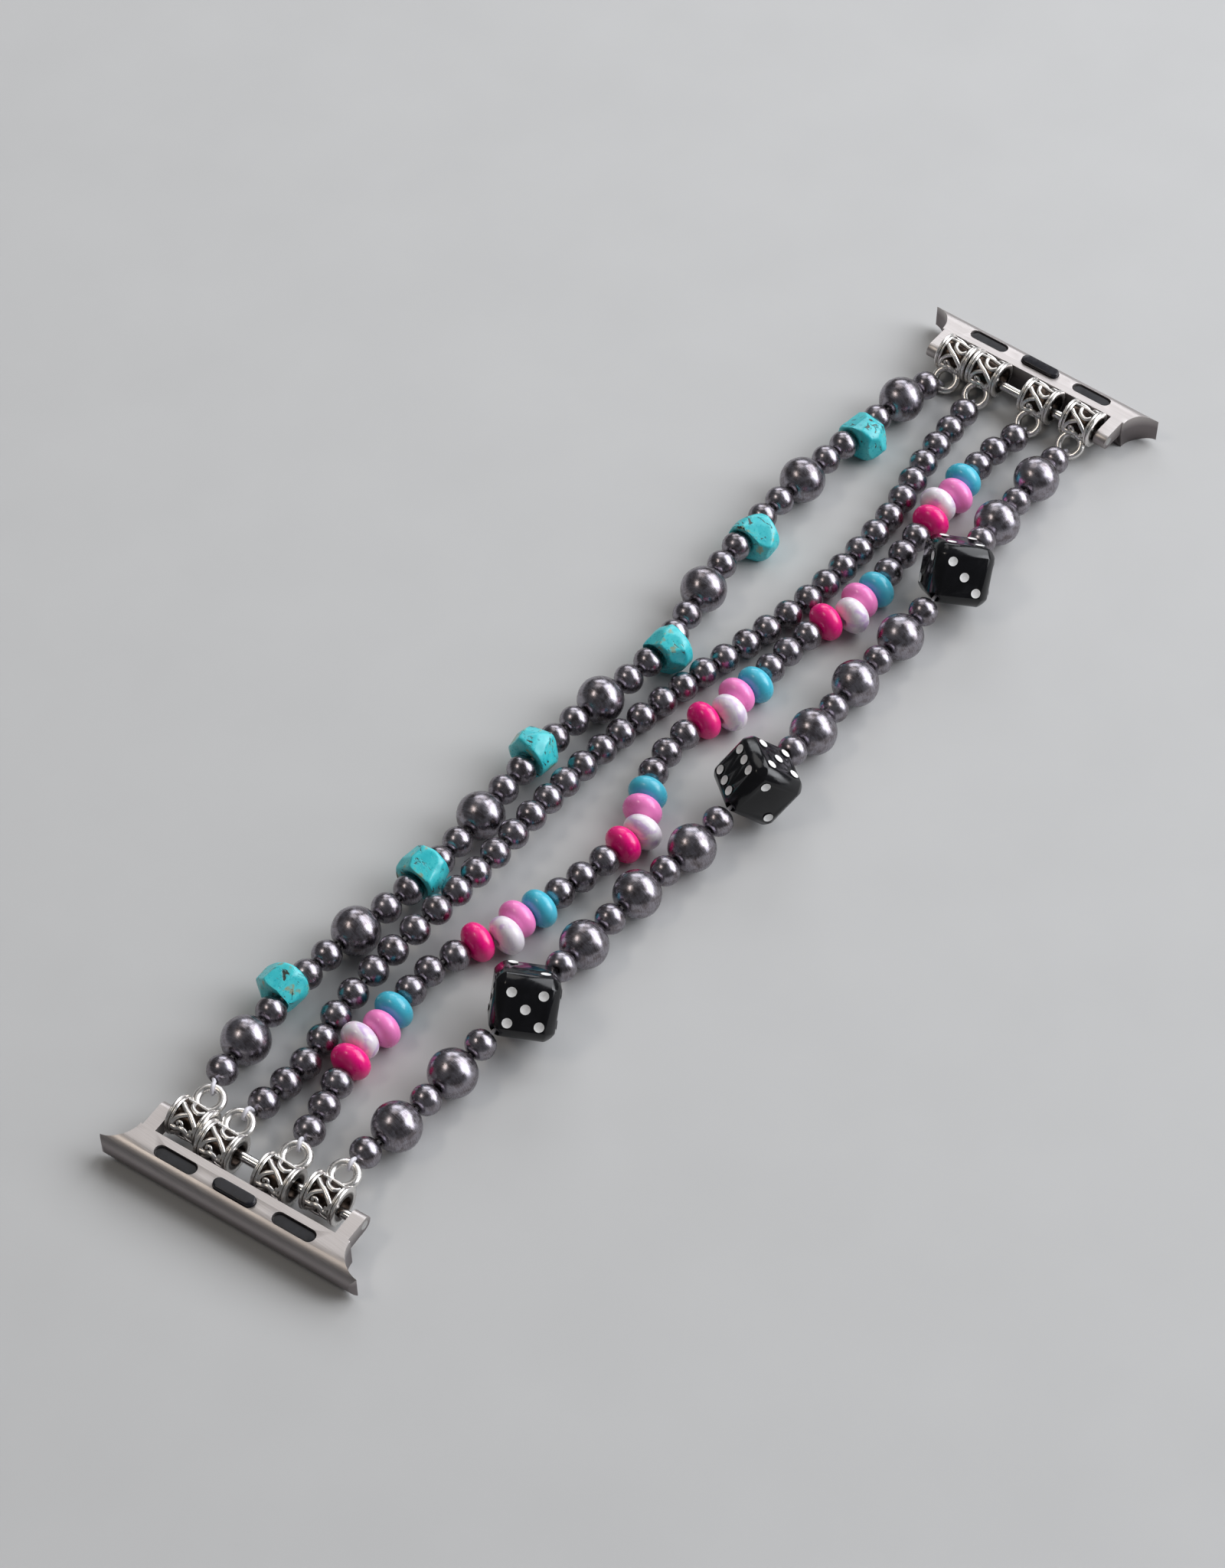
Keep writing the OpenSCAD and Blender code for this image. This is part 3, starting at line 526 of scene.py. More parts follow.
def spun_bead(radius, half, dome, bore, steps, rings):
    """A bead with its hole along X, spun from its outline, as a mesh with marks for its material.

    Its ends are domes that meet a ball softly. With a dome of 0 it is one soft, flattened form."""
    bm = bmesh.new()
    place = bm.verts.layers.float_vector.new("bead_place")
    end = bm.verts.layers.float.new("bead_end")
    fullness, soft, throat, dark_end = 2.2, 6.0, 0.93, 0.55

    def reach(x):
        if not dome:
            return radius * max(1 - (abs(x) / half) ** fullness, 0) ** (1 / fullness)
        ball = math.sqrt(max(radius ** 2 - x ** 2, 0))
        face = math.sqrt(max(dome ** 2 - (abs(x) + dome - half) ** 2, 0))
        return (ball ** -soft + max(face, 1e-6) ** -soft) ** (-1 / soft)

    rim = half
    while reach(rim) < bore and rim > 0:
        rim -= half / 400
    outline = []
    for k in range(rings + 1):
        x = -rim * math.cos(math.pi * k / rings)
        outline.append((x, max(reach(x), bore)))
    outline += [(side * throat * rim, throat * bore) for side in (1, 0, -1)]
    full_turn(bm, outline_of(bm, [(x, 0, r) for x, r in outline]), (1, 0, 0), steps)
    bmesh.ops.recalc_face_normals(bm, faces=bm.faces)
    for vert in bm.verts:
        vert[place] = vert.co / MM
        away = math.hypot(vert.co.y, vert.co.z)
        vert[end] = 1 - min(1, max(0, (away - bore) / (dark_end * radius)))
    return as_mesh(bm, "bead_form")


def add_bead(bm, form, spot, chance, dent=0.012):
    """Adds one bead to a row, rolled, slightly shrunk and uneven, at its place on the cord."""
    new = add_mesh(bm, form)
    place = bm.verts.layers.float_vector["bead_place"]
    seed = Vector([chance.uniform(-40, 40) for _ in range(3)])
    squeeze = Vector([1 - chance.uniform(0, dent) for _ in range(3)])
    for vert in new:
        swell = 1 - dent * (0.5 + 0.5 * noise.noise(vert.co * 420 + seed))
        vert.co = Vector([vert.co[i] * squeeze[i] * (swell if i else 1) for i in range(3)])
        vert[place] = vert[place] + seed
    middle, way, _half = spot
    turn = turned_to(way, chance.uniform(0, 6.28))
    bmesh.ops.transform(bm, matrix=Matrix.Translation(middle) @ turn, verts=new)


def empty_row():
    """A bmesh with the marks that the beads' materials read."""
    bm = bmesh.new()
    bm.verts.layers.float_vector.new("bead_place")
    bm.verts.layers.float.new("bead_end")
    return bm


def tube(points, radius):
    """A round wire through points, as a mesh."""
    line = bpy.data.curves.new("wire", "CURVE")
    line.dimensions = "3D"
    line.bevel_depth = radius
    line.bevel_resolution = 3
    line.use_fill_caps = True
    line.resolution_u = 5
    spline = line.splines.new("BEZIER")
    spline.bezier_points.add(len(points) - 1)
    for point, co in zip(spline.bezier_points, points):
        point.co = co
        point.handle_left_type = point.handle_right_type = "AUTO"
    holder = bpy.data.objects.new("wire", line)
    bpy.context.scene.collection.objects.link(holder)
    bpy.context.view_layer.update()
    mesh = bpy.data.meshes.new_from_object(holder.evaluated_get(bpy.context.evaluated_depsgraph_get()))
    bpy.data.objects.remove(holder)
    return mesh


def finished(thing, *modifiers):
    """Applies modifiers to a piece, each a kind and its settings."""
    for kind, settings in modifiers:
        modifier = thing.modifiers.new(kind.lower(), kind)
        for name, value in settings.items():
            setattr(modifier, name, value)
    bpy.context.view_layer.update()
    mesh = bpy.data.meshes.new_from_object(thing.evaluated_get(bpy.context.evaluated_depsgraph_get()))
    thing.modifiers.clear()
    thing.data = mesh
    return thing


def softened(node, surface, body, width, segments=3):
    """A CAD solid with its sharp edges rounded over: the convex ones that turn by more than 30 degrees."""
    bm = merged_copy(node)
    bmesh.ops.dissolve_limit(bm, angle_limit=math.radians(1), verts=bm.verts, edges=bm.edges)
    sharp = [e for e in bm.edges if len(e.link_faces) == 2 and e.calc_face_angle(0) > math.radians(30)
             and e.is_convex]
    round_over(bm, sharp, width, segments)
    bmesh.ops.triangulate(bm, faces=[f for f in bm.faces if len(f.verts) > 4])
    thing = piece(f"{node}_dressed", bm, surface, body, [node])
    thing.data.set_sharp_from_angle(angle=math.radians(45))
    return finished(thing, ("WEIGHTED_NORMAL", {"mode": "FACE_AREA", "weight": 100, "keep_sharp": True}))


# ---------------------------------------------------------------- operators


# Each bead's radius, half length, dome radius and bore radius, then the steps and rings of its mesh.
SMALL_PEARL = (1.99 * MM, 1.75 * MM, 3.2 * MM, 0.5 * MM, 28, 12)
LARGE_PEARL = (3.19 * MM, 2.9 * MM, 4.4 * MM, 0.5 * MM, 40, 18)
COLOURED_BEAD = (2.58 * MM, 1.62 * MM, 0, 0.45 * MM, 44, 20)
# A solid with a greater half length than this is a large pearl.
LARGE_HALF = 2.3 * MM


class WATCHBAND_OT_pearls(bpy.types.Operator):
    """Makes the small and large pearls of every row"""

    bl_idname = "watchband.pearls"
    bl_label = "Pearls"

    def execute(self, context):
        metal = material("pearl_metal", pearl_metal)
        small = spun_bead(*SMALL_PEARL)
        large = spun_bead(*LARGE_PEARL)
        for number, row in enumerate(ROWS):
            chance = random.Random(100 + number)
            bm = empty_row()
            for spot in solids_of(row):
                add_bead(bm, large if spot[2] > LARGE_HALF else small, spot, chance)
            piece(f"pearls_{row}", bm, metal, row, [row])
        return {"FINISHED"}


class WATCHBAND_OT_coloured_beads(bpy.types.Operator):
    """Makes the coloured beads, four to a set"""

    bl_idname = "watchband.coloured_beads"
    bl_label = "Coloured beads"

    def execute(self, context):
        look = context.scene.watch_band_beads
        form = spun_bead(*COLOURED_BEAD)
        for number in SETS:
            node = f"color_set_{number}"
            chance = random.Random(300 + number)
            for name, spot in zip(BEAD_COLOURS, solids_of(node)):
                bm = empty_row()
                add_bead(bm, form, spot, chance, 0.02)
                piece(f"bead_{name}_{number}", bm,
                      material(f"bead_{name}", bead_gloss, name, tuple(getattr(look, name))),
                      row_of(node), [node])
        return {"FINISHED"}


class WATCHBAND_OT_chips(bpy.types.Operator):
    """Wears the six turquoise chips down to lumpy pebbles with soft facets"""

    bl_idname = "watchband.chips"
    bl_label = "Turquoise chips"

    def execute(self, context):
        stone = material("turquoise_stone", chip_stone)
        for number in SETS:
            node = f"chip_{number}"
            thing = piece(f"pebble_{number}", merged_copy(node), stone, row_of(node), [node])
            finished(
                thing,
                ("REMESH", {"mode": "VOXEL", "voxel_size": 0.14 * MM, "use_smooth_shade": True}),
                ("SMOOTH", {"factor": 0.5, "iterations": 6}),
            )
            seed = Vector((7.3 * number, 2.1 * number, 5.7))
            mesh = thing.data
            bm = bmesh.new()
            bm.from_mesh(mesh)
            bm.normal_update()
            place = bm.verts.layers.float_vector.new("bead_place")
            for vert in bm.verts:
                vert[place] = vert.co / MM + seed * 3
            for vert, normal in [(v, v.normal.copy()) for v in bm.verts]:
                swell = noise.noise(vert.co * 260 + seed) + 0.3 * noise.noise(vert.co * 900 + seed)
                vert.co = vert.co + normal * (0.24 * MM * (swell - 0.1))
            self.chisel(bm, solids_of(node)[0], random.Random(500 + number))
            bm.to_mesh(mesh)
            bm.free()
            mesh.shade_smooth()
        return {"FINISHED"}

    def chisel(self, bm, spot, chance):
        """Flattens a pebble against planes round its cord, which gives it worn facets and edges."""
        middle, way, _half = spot
        round_it = way.orthogonal().normalized()
        for number in range(9):
            facet = Matrix.Rotation(math.radians(number * 137 + chance.uniform(-25, 25)), 3, way) @ round_it
            facet = (facet + way * chance.uniform(-0.75, 0.75)).normalized()
            reach = max((v.co - middle).dot(facet) for v in bm.verts) * chance.uniform(0.80, 0.92)
            for vert in bm.verts:
                depth = (vert.co - middle).dot(facet) - reach
                if depth > 0:
                    vert.co -= facet * depth
        for _ in range(6):
            bmesh.ops.smooth_vert(bm, verts=bm.verts, factor=0.5,
                                  use_axis_x=True, use_axis_y=True, use_axis_z=True)


PIPS = {
    1: [(0, 0)],
    2: [(-1, 1), (1, -1)],
    3: [(-1, 1), (0, 0), (1, -1)],
    4: [(-1, -1), (-1, 1), (1, -1), (1, 1)],
    5: [(-1, -1), (-1, 1), (0, 0), (1, -1), (1, 1)],
    6: [(-1, -1), (-1, 0), (-1, 1), (1, -1), (1, 0), (1, 1)],
}
# Roll of each die about its cord, and the pips on its faces +x, -x, +y, -y, +z, -z.
DICE = [(-20, (4, 3, 6, 5, 2, 1)), (23, (1, 6, 3, 2, 5, 4)), (-13, (5, 2, 6, 3, 4, 1))]
FACE_TURNS = [("Y", 90), ("Y", -90), ("X", -90), ("X", 90), ("X", 0), ("X", 180)]


class WATCHBAND_OT_dice(bpy.types.Operator):
    """Makes the dice, drilled from corner to corner, and paints their pips"""

    bl_idname = "watchband.dice"
    bl_label = "Dice"

    def execute(self, context):
        size = context.scene.watch_band_dice
        black = material("die_black", die_gloss)
        white = material("pip_white", pip_paint)
        depth, paint, room, corner_reach = 0.2 * MM, 0.02 * MM, 0.45 * MM, 1.26 * size.edge / 2
        dent = (size.pip_width ** 2 / 4 + depth ** 2) / (2 * depth)
        corner = (Matrix.Rotation(math.atan(1 / math.sqrt(2)), 4, "Y")
                  @ Matrix.Rotation(math.radians(-45), 4, "Z"))
        drill = Matrix.Rotation(math.radians(90), 4, "Y")
        for number, (roll, counts) in enumerate(DICE, 1):
            node = f"die_{number}"
            middle, way, _half = solids_of(node)[0]
            heading = (Matrix.Rotation(math.atan2(way.y, way.x), 4, "Z")
                       @ Matrix.Rotation(-math.asin(way.z), 4, "Y"))
            stand = (Matrix.Translation(middle) @ heading
                     @ Matrix.Rotation(math.radians(roll), 4, "X") @ corner)
            spots = []
            for (axis, turn), count in zip(FACE_TURNS, counts):
                face = Matrix.Rotation(math.radians(turn), 4, axis)
                spots += [face @ Matrix.Translation((u * size.pip_pitch, v * size.pip_pitch, size.edge / 2))
                          for u, v in PIPS[count]]
            bm = bmesh.new()
            bmesh.ops.create_cube(bm, size=size.edge)
            round_over(bm, list(bm.edges), size.rounding, 8)
            for vert in bm.verts:
                beyond = vert.co.length - corner_reach
                if beyond > 0:
                    vert.co *= (corner_reach + room * math.tanh(beyond / room)) / vert.co.length
            die = piece(f"die_{number}_resin", bm, black, row_of(node), [node])
            cutter = bmesh.new()
            for spot in spots:
                bmesh.ops.create_uvsphere(cutter, u_segments=28, v_segments=40, radius=dent,
                                          matrix=spot @ Matrix.Translation((0, 0, dent - depth)))
            bmesh.ops.create_cone(cutter, cap_ends=True, segments=32, radius1=size.bore / 2,
                                  radius2=size.bore / 2, depth=3 * size.edge, matrix=corner.inverted() @ drill)
            tool = piece("cutter", cutter, black, row_of(node))
            finished(die, ("BOOLEAN", {"operation": "DIFFERENCE", "object": tool, "solver": "EXACT"}))
            bpy.data.objects.remove(tool)
            die.data.transform(stand)
            die.data.shade_smooth()
            die.data.set_sharp_from_angle(angle=math.radians(28))
            bm = bmesh.new()
            for spot in spots:
                start = len(bm.verts)
                bmesh.ops.create_circle(bm, cap_ends=True, cap_tris=True, segments=28,
                                        radius=0.47 * size.pip_width)
                bm.verts.ensure_lookup_table()
                for vert in bm.verts[start:]:
                    away = math.hypot(vert.co.x, vert.co.y)
                    vert.co.z = dent - depth + paint - math.sqrt(dent ** 2 - away ** 2)
                bmesh.ops.transform(bm, matrix=stand @ spot, verts=bm.verts[start:])
            piece(f"die_{number}_pips", bm, white, row_of(node))
        return {"FINISHED"}


# How far a cord's run goes on past its row's last bead: at a gap that stretches, or at any other.
STRETCH_TAIL, BEND_TAIL = 5.0 * MM, 1.7 * MM
# How far inside a bead a run starts, and how far runs and loops reach past the middle of an end bead.
RUN_START, END_RUN, END_LOOP = 0.35 * MM, 0.2 * MM, 0.4 * MM


class WATCHBAND_OT_cords(bpy.types.Operator):
    """Cuts each elastic cord into the runs that move with each row, and the loops round the rings"""

    bl_idname = "watchband.cords"
    bl_label = "Elastic cords"

    def execute(self, context):
        elastic = material("elastic_cord", cord_elastic)
        beads = {s: [] for s in STRANDS}
        ways = {s: [v.co.copy() for v in frame["nodes"][f"cord_{s}"].data.vertices] for s in beads}
        for row in ROWS:
            for node in [n for n in frame["nodes"] if row_of(n) == row and not n.startswith("cord")]:
                for spot in solids_of(node):
                    s = min(ways, key=lambda k: min((co - spot[0]).length for co in ways[k]))
                    beads[s].append((spot, row))
        for line in beads.values():
            line.sort(key=lambda entry: entry[0][0].x)
        cuts = {}
        for s, line in beads.items():
            for (before, row_a), (after, row_b) in zip(line, line[1:]):
                if row_a == row_b:
                    continue
                start = after[0].x - after[2] * after[1].x
                stretch = row_a[:6] == row_b[:6] or ROWS.index(row_b) - ROWS.index(row_a) > 1
                cuts.setdefault((s, row_a), {})["far"] = start + (STRETCH_TAIL if stretch else BEND_TAIL)
                cuts.setdefault((s, row_b), {})["near"] = start + RUN_START
            first, last = line[0], line[-1]
            cuts.setdefault((s, first[1]), {})["near"] = first[0][0].x - END_RUN
            cuts.setdefault((s, last[1]), {})["far"] = last[0][0].x + END_RUN
        for row in ROWS:
            bm = bmesh.new()
            for s in beads:
                limits = cuts.get((s, row))
                if limits:
                    self.add_run(bm, s, limits["near"], limits["far"])
            piece(f"cord_run_{row}", bm, elastic, row,
                  [f"cord_{s}" for s in beads] if row == "row_07_near" else [])
        for s, line in beads.items():
            for end in ENDS:
                bm = bmesh.new()
                if end == "near":
                    self.add_run(bm, s, -1.0, line[0][0][0].x - END_LOOP)
                else:
                    self.add_run(bm, s, line[-1][0][0].x + END_LOOP, 1.0)
                piece(f"cord_loop_{end}_{s}", bm, elastic, f"{end}_bail_{s}")
        return {"FINISHED"}

    def add_run(self, bm, strand, low, high):
        """Adds the length of a cord between two places along X, with its cut ends closed."""
        run = merged_copy(f"cord_{strand}")
        for x, outer in ((low, False), (high, True)):
            bmesh.ops.bisect_plane(run, geom=list(run.verts) + list(run.edges) + list(run.faces), dist=1e-8,
                                   plane_co=(x, 0, 0), plane_no=(1, 0, 0),
                                   clear_outer=outer, clear_inner=not outer)
            bmesh.ops.holes_fill(run, edges=[e for e in run.edges if e.is_boundary], sides=0)
        bm.from_mesh(as_mesh(run, "run"))


# The scrolls on a barrel: points across it and round it from its top, in millimetres, and their thickness.
SCROLLS = [
    ([(-1.4, 0.75), (-0.75, 0.3), (0.06, -0.08), (0.85, -0.6), (1.5, -1.1)], 1.3),
    ([(-1.45, -2.1), (-1.35, -1.5), (-1.05, -0.9), (-0.4, -0.4), (0.15, -0.1)], 1.1),
    ([(-0.45, 1.6), (-0.15, 0.85), (0.5, 0.5), (1.05, 0.5), (1.5, 0.9)], 1.1),
    ([(-1.45, -2.15), (-0.7, -2.15), (-0.25, -1.95), (0.4, -2.0), (0.95, -2.25), (1.5, -2.1)], 1.35),
    ([(-0.05, -1.95), (-0.12, -1.5), (-0.45, -1.28), (-0.78, -1.42), (-0.72, -1.68)], 0.8),
    ([(1.4, -1.1), (1.42, -1.55), (1.2, -1.8), (0.92, -1.7)], 0.9),
    ([(-1.5, -3.2), (-0.6, -2.75), (-0.05, -2.2)], 0.9),
    ([(0.25, -2.2), (0.6, -2.85), (1.5, -3.2)], 0.9),
    ([(-1.5, 1.9), (-0.6, 2.05), (0.4, 1.95), (1.5, 1.75)], 0.9),
]


class WATCHBAND_OT_bails(bpy.types.Operator):
    """Casts the eight end bails, with their rims, scrolls and rings"""

    bl_idname = "watchband.bails"
    bl_label = "End bails"

    def execute(self, context):
        size = context.scene.watch_band_bails
        silver = material("bail_silver", bail_silver)
        forms = {end: self.form(size, 1 if end == "near" else -1) for end in ENDS}
        for end in ENDS:
            yaw = swing_yaw(end)
            turn = Matrix.Rotation(yaw, 4, "Z") @ Matrix.Rotation(
                size.near_tilt if end == "near" else -size.far_tilt, 4, "Y")
            back = turn.to_3x3().inverted()
            for number in STRANDS:
                node = f"{end}_bail_{number}"
                local = [back @ v.co for v in frame["nodes"][node].data.vertices]
                at = Vector((max(p.x for p in local) - size.rim_width / 2,
                             (max(p.y for p in local) + min(p.y for p in local)) / 2,
                             (max(p.z for p in local) + min(p.z for p in local)) / 2))
                bm = bmesh.new()
                bm.from_mesh(forms[end])
                bmesh.ops.transform(bm, matrix=turn @ Matrix.Translation(at), verts=bm.verts)
                piece(f"{node}_cast", bm, silver, node, [node])
        return {"FINISHED"}

    def form(self, size, side):
        """One bail: its bar along Y, its ring at -X, and the scrolls' lip towards side times -X."""
        bm = bmesh.new()
        raised = bm.verts.layers.float.new("raised")
        half, rim, ground = size.length / 2, size.rim_width / 2, size.ground_width / 2
        w = 0.35 * MM  # width of the end rim, from which the steps towards the ground are set
        outline = [
            (size.bore / 2, half - 0.05 * MM), (size.bore / 2 + 0.1 * MM, half), (rim - 0.12 * MM, half),
            (rim, half - 0.1 * MM), (rim, half - w + 0.08 * MM), (rim - 0.1 * MM, half - w),
            (rim - 0.36 * MM, half - w - 0.02 * MM), (rim - 0.36 * MM, half - 1.35 * w),
            (rim - 0.16 * MM, half - 1.4 * w), (rim - 0.1 * MM, half - 1.7 * w),
            (rim - 0.16 * MM, half - 2.1 * w), (rim - 0.3 * MM, half - 2.25 * w), (ground, half - 2.35 * w),
            (ground, half - 3.6 * w),
        ]
        outline += [(r, -y) for r, y in reversed(outline)]
        full_turn(bm, outline_of(bm, [(r, y, 0) for r, y in outline]), (0, 1, 0), 56)
        for vert in bm.verts:
            away = math.hypot(vert.co.x, vert.co.z)
            vert[raised] = 1.0 if away > rim - 0.2 * MM else 0.0
        ring = bmesh.new()
        middle = (size.ring_width - size.ring_wire) / 2
        upright = Matrix.Rotation(math.pi / 2, 4, "X")
        bmesh.ops.create_circle(ring, segments=14, radius=size.ring_wire / 2,
                                matrix=Matrix.Translation((middle, 0, 0)) @ upright)
        full_turn(ring, list(ring.verts) + list(ring.edges), (0, 0, 1), 40)
        bmesh.ops.transform(ring, matrix=Matrix.Translation((-size.ring_reach, 0, 0)), verts=ring.verts)
        self.join(bm, ring, raised)
        foot = bmesh.new()
        bmesh.ops.create_cube(foot, size=1, matrix=Matrix.Translation((-ground - 0.02 * MM, 0, 0))
                              @ Matrix.Diagonal((0.6 * MM, 2.5 * MM, 0.6 * MM, 1)))
        round_over(foot, list(foot.edges), 0.15 * MM, 3)
        self.join(bm, foot, raised)
        for half_turn in (0, 1):
            for points, thickness in SCROLLS:
                radius = size.scroll * thickness
                centre = ground + 0.35 * radius
                path = []
                for across, round_it in points:
                    angle = -side * round_it * MM / ground + math.pi * half_turn
                    path.append((centre * math.sin(angle), -side * -across * MM, centre * math.cos(angle)))
                wire = bmesh.new()
                wire.from_mesh(tube(path, radius))
                self.join(bm, wire, raised)
        bmesh.ops.recalc_face_normals(bm, faces=bm.faces)
        return as_mesh(bm, "bail_form")

    def join(self, bm, part, raised):
        """Adds a part to a bail and marks it as raised, so that it stays bright."""
        for vert in add_mesh(bm, as_mesh(part, "part")):
            vert[raised] = 1.0


def swing_yaw(end):
    """The turn of an adapter about Z, from its bar's axis: the far one points along X, the near one back."""
    joint = next(j for j in frame["joints"] if j["name"] == f"{end}_swing")
    yaw = math.atan2(joint["axis"][0], -joint["axis"][1])
    return yaw + (math.pi if end == "near" else 0)


class WATCHBAND_OT_adapters(bpy.types.Operator):
    """Finishes the two adapters: frames, bars, rubber pads, latches and coils"""

    bl_idname = "watchband.adapters"
    bl_label = "Adapters"

    def execute(self, context):
        rubber = material("pad_rubber", pad_rubber, "pad_rubber", (0.009, 0.009, 0.011), 0.34)
        latch = material("latch_button", pad_rubber, "latch_button", (0.007, 0.007, 0.010), 0.22)
        bar = material("bar_steel", bright_steel, "bar_steel", (0.74, 0.73, 0.71), 0.18)
        wire = material("spring_steel", bright_steel, "spring_steel", (0.62, 0.62, 0.61), 0.25)
        for end in ENDS:
            steel = material(f"adapter_steel_{end}", adapter_steel, end, swing_yaw(end))
            softened(f"{end}_frame", steel, f"{end}_adapter", 0.10 * MM)
            softened(f"{end}_side_pads", rubber, f"{end}_adapter", 0.25 * MM, 4)
            softened(f"{end}_latch_button", latch, f"{end}_latch", 0.22 * MM, 4)
            rod = frame["nodes"][f"{end}_bar"]
            rod.data.materials.clear()
            rod.data.materials.append(bar)
            self.coil(f"{end}_latch_spring", wire, f"{end}_adapter", f"{end}_latch_press")
        return {"FINISHED"}

    def coil(self, node, wire, body, joint):
        """A latch's spring, as a coil of wire that rides on the adapter."""
        low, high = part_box(node)
        radius, turns, thick = (high.x - low.x) / 2 - 0.1 * MM, 5, 0.1 * MM
        bm = bmesh.new()
        bmesh.ops.create_circle(bm, segments=8, radius=thick, matrix=Matrix.Translation((radius, 0, 0))
                                @ Matrix.Rotation(math.pi / 2, 4, "X"))
        steps = 12 * turns
        rise = (high.z - low.z - 2 * thick) / steps
        bmesh.ops.spin(bm, geom=list(bm.verts) + list(bm.edges), cent=(0, 0, 0), axis=(0, 0, 1),
                       dvec=(0, 0, rise), angle=2 * math.pi * turns, steps=steps,
                       use_merge=False, use_duplicate=False)
        bmesh.ops.holes_fill(bm, edges=[e for e in bm.edges if e.is_boundary], sides=0)
        bmesh.ops.recalc_face_normals(bm, faces=bm.faces)
        middle = (low + high) / 2
        stand = Matrix.Translation((middle.x, middle.y, low.z + thick))
        bmesh.ops.transform(bm, matrix=stand, verts=bm.verts)
        coil = piece(f"{node}_coil", bm, wire, body, [node])
        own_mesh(coil)


# The camera's place in millimetres, its heading in the plane of the floor, its fall in degrees and its lens.
VIEW_PLACE = (-234.1, -177.5, 360.0)
VIEW_HEADING = (0.7826, 0.6225)
VIEW_FALL = 51
VIEW_LENS = 86.3086
# How far the floor lies below the rails' undersides, in metres.
FLOOR_DROP = 0.00002


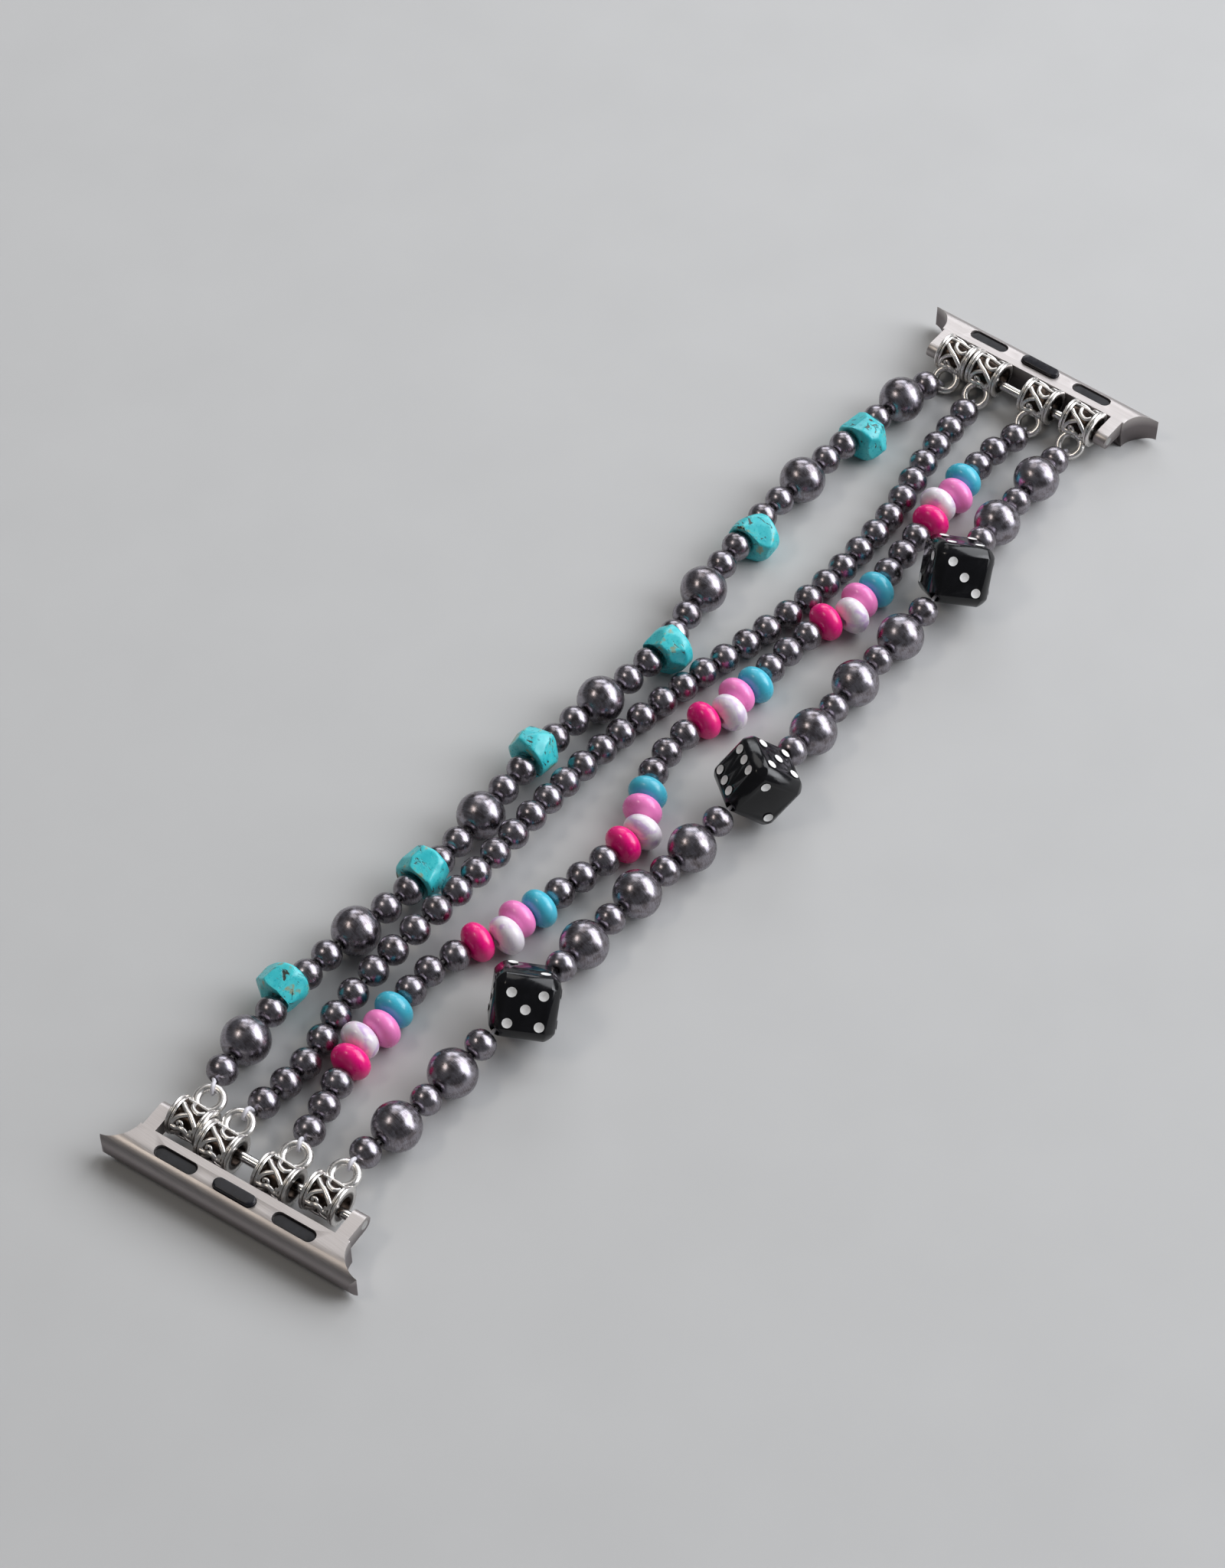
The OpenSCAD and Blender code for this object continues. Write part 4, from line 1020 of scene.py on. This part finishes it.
class WATCHBAND_OT_stage(bpy.types.Operator):
    """Sets the floor, the lamps and the camera"""

    bl_idname = "watchband.stage"
    bl_label = "Stage"

    def execute(self, context):
        look = context.scene.watch_band_stage
        floor_paint = new_material("floor_paint", look.floor, 0.9)
        r = Recipe(floor_paint)
        grain = r.noise(r.place(), 60, 3)
        shade = tuple(0.97 * c for c in look.floor)
        r.finish(r.mix(r.ramp(grain, (0.3, 0.0), (0.7, 1.0)), tuple(look.floor), shade))
        bm = bmesh.new()
        bmesh.ops.create_grid(bm, x_segments=1, y_segments=1, size=3)
        mesh = as_mesh(bm, "floor")
        mesh.materials.append(floor_paint)
        floor = bpy.data.objects.new("floor", mesh)
        floor.location.z = -FLOOR_DROP
        context.scene.collection.objects.link(floor)
        for node in [*ROWS, "die_1", "die_2", "die_3", "far_frame"]:
            self.give_way(floor, node)
        cool, warm = (0.94, 0.96, 1.0), (1.0, 0.91, 0.80)
        self.lamp("window", look.window, cool, (0.70, -0.45, 0.70), (0.1, 1.0, -0.1), 1.4, 0.85)
        self.lamp("window_end", 0.15 * look.window, cool, (0.72, 0.56, 0.50), (-0.64, 0.77, 0.0), 0.6, 0.35)
        self.lamp("door", 0.22 * look.window, cool, (0.54, -0.78, 0.42), (-0.08, -0.42, -0.5), 0.8, 0.42)
        self.lamp("ceiling", 0.055 * look.window, (1.0, 0.98, 0.96), (0.33, 0.45, 0.83), (0, 1, 0), 0.45, 0.4)
        self.lamp("warm_lamp", look.lamp, warm, (-0.40, 0.36, 0.82), (0.8, 0.58, 0.1), 0.30, 0.14)
        world = bpy.data.worlds.new("studio")
        world.use_nodes = True
        ground = world.node_tree.nodes["Background"]
        ground.inputs["Color"].default_value = (0.93, 0.95, 1.0, 1)
        ground.inputs["Strength"].default_value = look.sky
        context.scene.world = world
        view = bpy.data.cameras.new("camera")
        view.sensor_width = 36
        view.lens = VIEW_LENS
        view.clip_start = 0.01
        holder = bpy.data.objects.new("camera", view)
        holder.location = Vector(VIEW_PLACE) * MM
        down = math.radians(VIEW_FALL)
        ahead = Vector((*(part * math.cos(down) for part in VIEW_HEADING), -math.sin(down)))
        holder.rotation_euler = ahead.to_track_quat("-Z", "Y").to_euler()
        context.scene.collection.objects.link(holder)
        context.scene.camera = holder
        context.scene.view_settings.view_transform = "Standard"
        return {"FINISHED"}

    def give_way(self, floor, node):
        """Keeps the floor under a CAD node, so that a pose that dips below the floor still shows."""
        low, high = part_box(node)
        height = (low.z + high.z) / 2
        for end, x in (("near", low.x + height), ("far", high.x - height)):
            mark = bpy.data.objects.new(f"mark_{node}_{end}", None)
            mark.location = (x, (low.y + high.y) / 2, height)
            bpy.context.scene.collection.objects.link(mark)
            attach(mark, row_of(node))
            stop = floor.constraints.new("FLOOR")
            stop.target = mark
            stop.floor_location = "FLOOR_NEGATIVE_Z"
            stop.offset = -height

    def lamp(self, name, power, colour, place, along, length, width):
        """An oblong soft lamp that faces the band, with its long side along a direction."""
        data = bpy.data.lights.new(name, "AREA")
        data.energy = power
        data.color = colour
        data.shape = "RECTANGLE"
        data.size, data.size_y = length, width
        back = Vector(place).normalized()
        side = (Vector(along) - back * back.dot(Vector(along))).normalized()
        thing = bpy.data.objects.new(name, data)
        turn = Matrix((side, back.cross(side), back)).transposed().to_4x4()
        thing.matrix_world = Matrix.Translation(place) @ turn
        bpy.context.scene.collection.objects.link(thing)


class WATCHBAND_PT_panel(bpy.types.Panel):
    """Lists the band's pieces and their settings"""

    bl_label = "Stretch Watch Band"
    bl_idname = "WATCHBAND_PT_panel"
    bl_space_type = "VIEW_3D"
    bl_region_type = "UI"
    bl_category = "Watch Band"

    def draw(self, context):
        for operator in OPERATORS:
            self.layout.operator(operator.bl_idname)
        for holder, settings in SETTINGS.items():
            box = self.layout.box()
            box.label(text=settings.__name__.replace("Settings", ""))
            for name in settings.__annotations__:
                box.prop(getattr(context.scene, holder), name)


SETTINGS = {
    "watch_band_beads": BeadSettings,
    "watch_band_dice": DieSettings,
    "watch_band_bails": BailSettings,
    "watch_band_stage": StageSettings,
}
OPERATORS = [
    WATCHBAND_OT_stage,
    WATCHBAND_OT_pearls,
    WATCHBAND_OT_coloured_beads,
    WATCHBAND_OT_chips,
    WATCHBAND_OT_dice,
    WATCHBAND_OT_cords,
    WATCHBAND_OT_bails,
    WATCHBAND_OT_adapters,
]


def register():
    for kind in [*SETTINGS.values(), *OPERATORS, WATCHBAND_PT_panel]:
        bpy.utils.register_class(kind)
    for holder, settings in SETTINGS.items():
        setattr(bpy.types.Scene, holder, bpy.props.PointerProperty(type=settings))


def unregister():
    for holder in SETTINGS:
        delattr(bpy.types.Scene, holder)
    for kind in reversed([*SETTINGS.values(), *OPERATORS, WATCHBAND_PT_panel]):
        bpy.utils.unregister_class(kind)


def main():
    register()
    for operator in OPERATORS:
        family, name = operator.bl_idname.split(".")
        getattr(getattr(bpy.ops, family), name)()


if __name__ == "__main__":
    main()
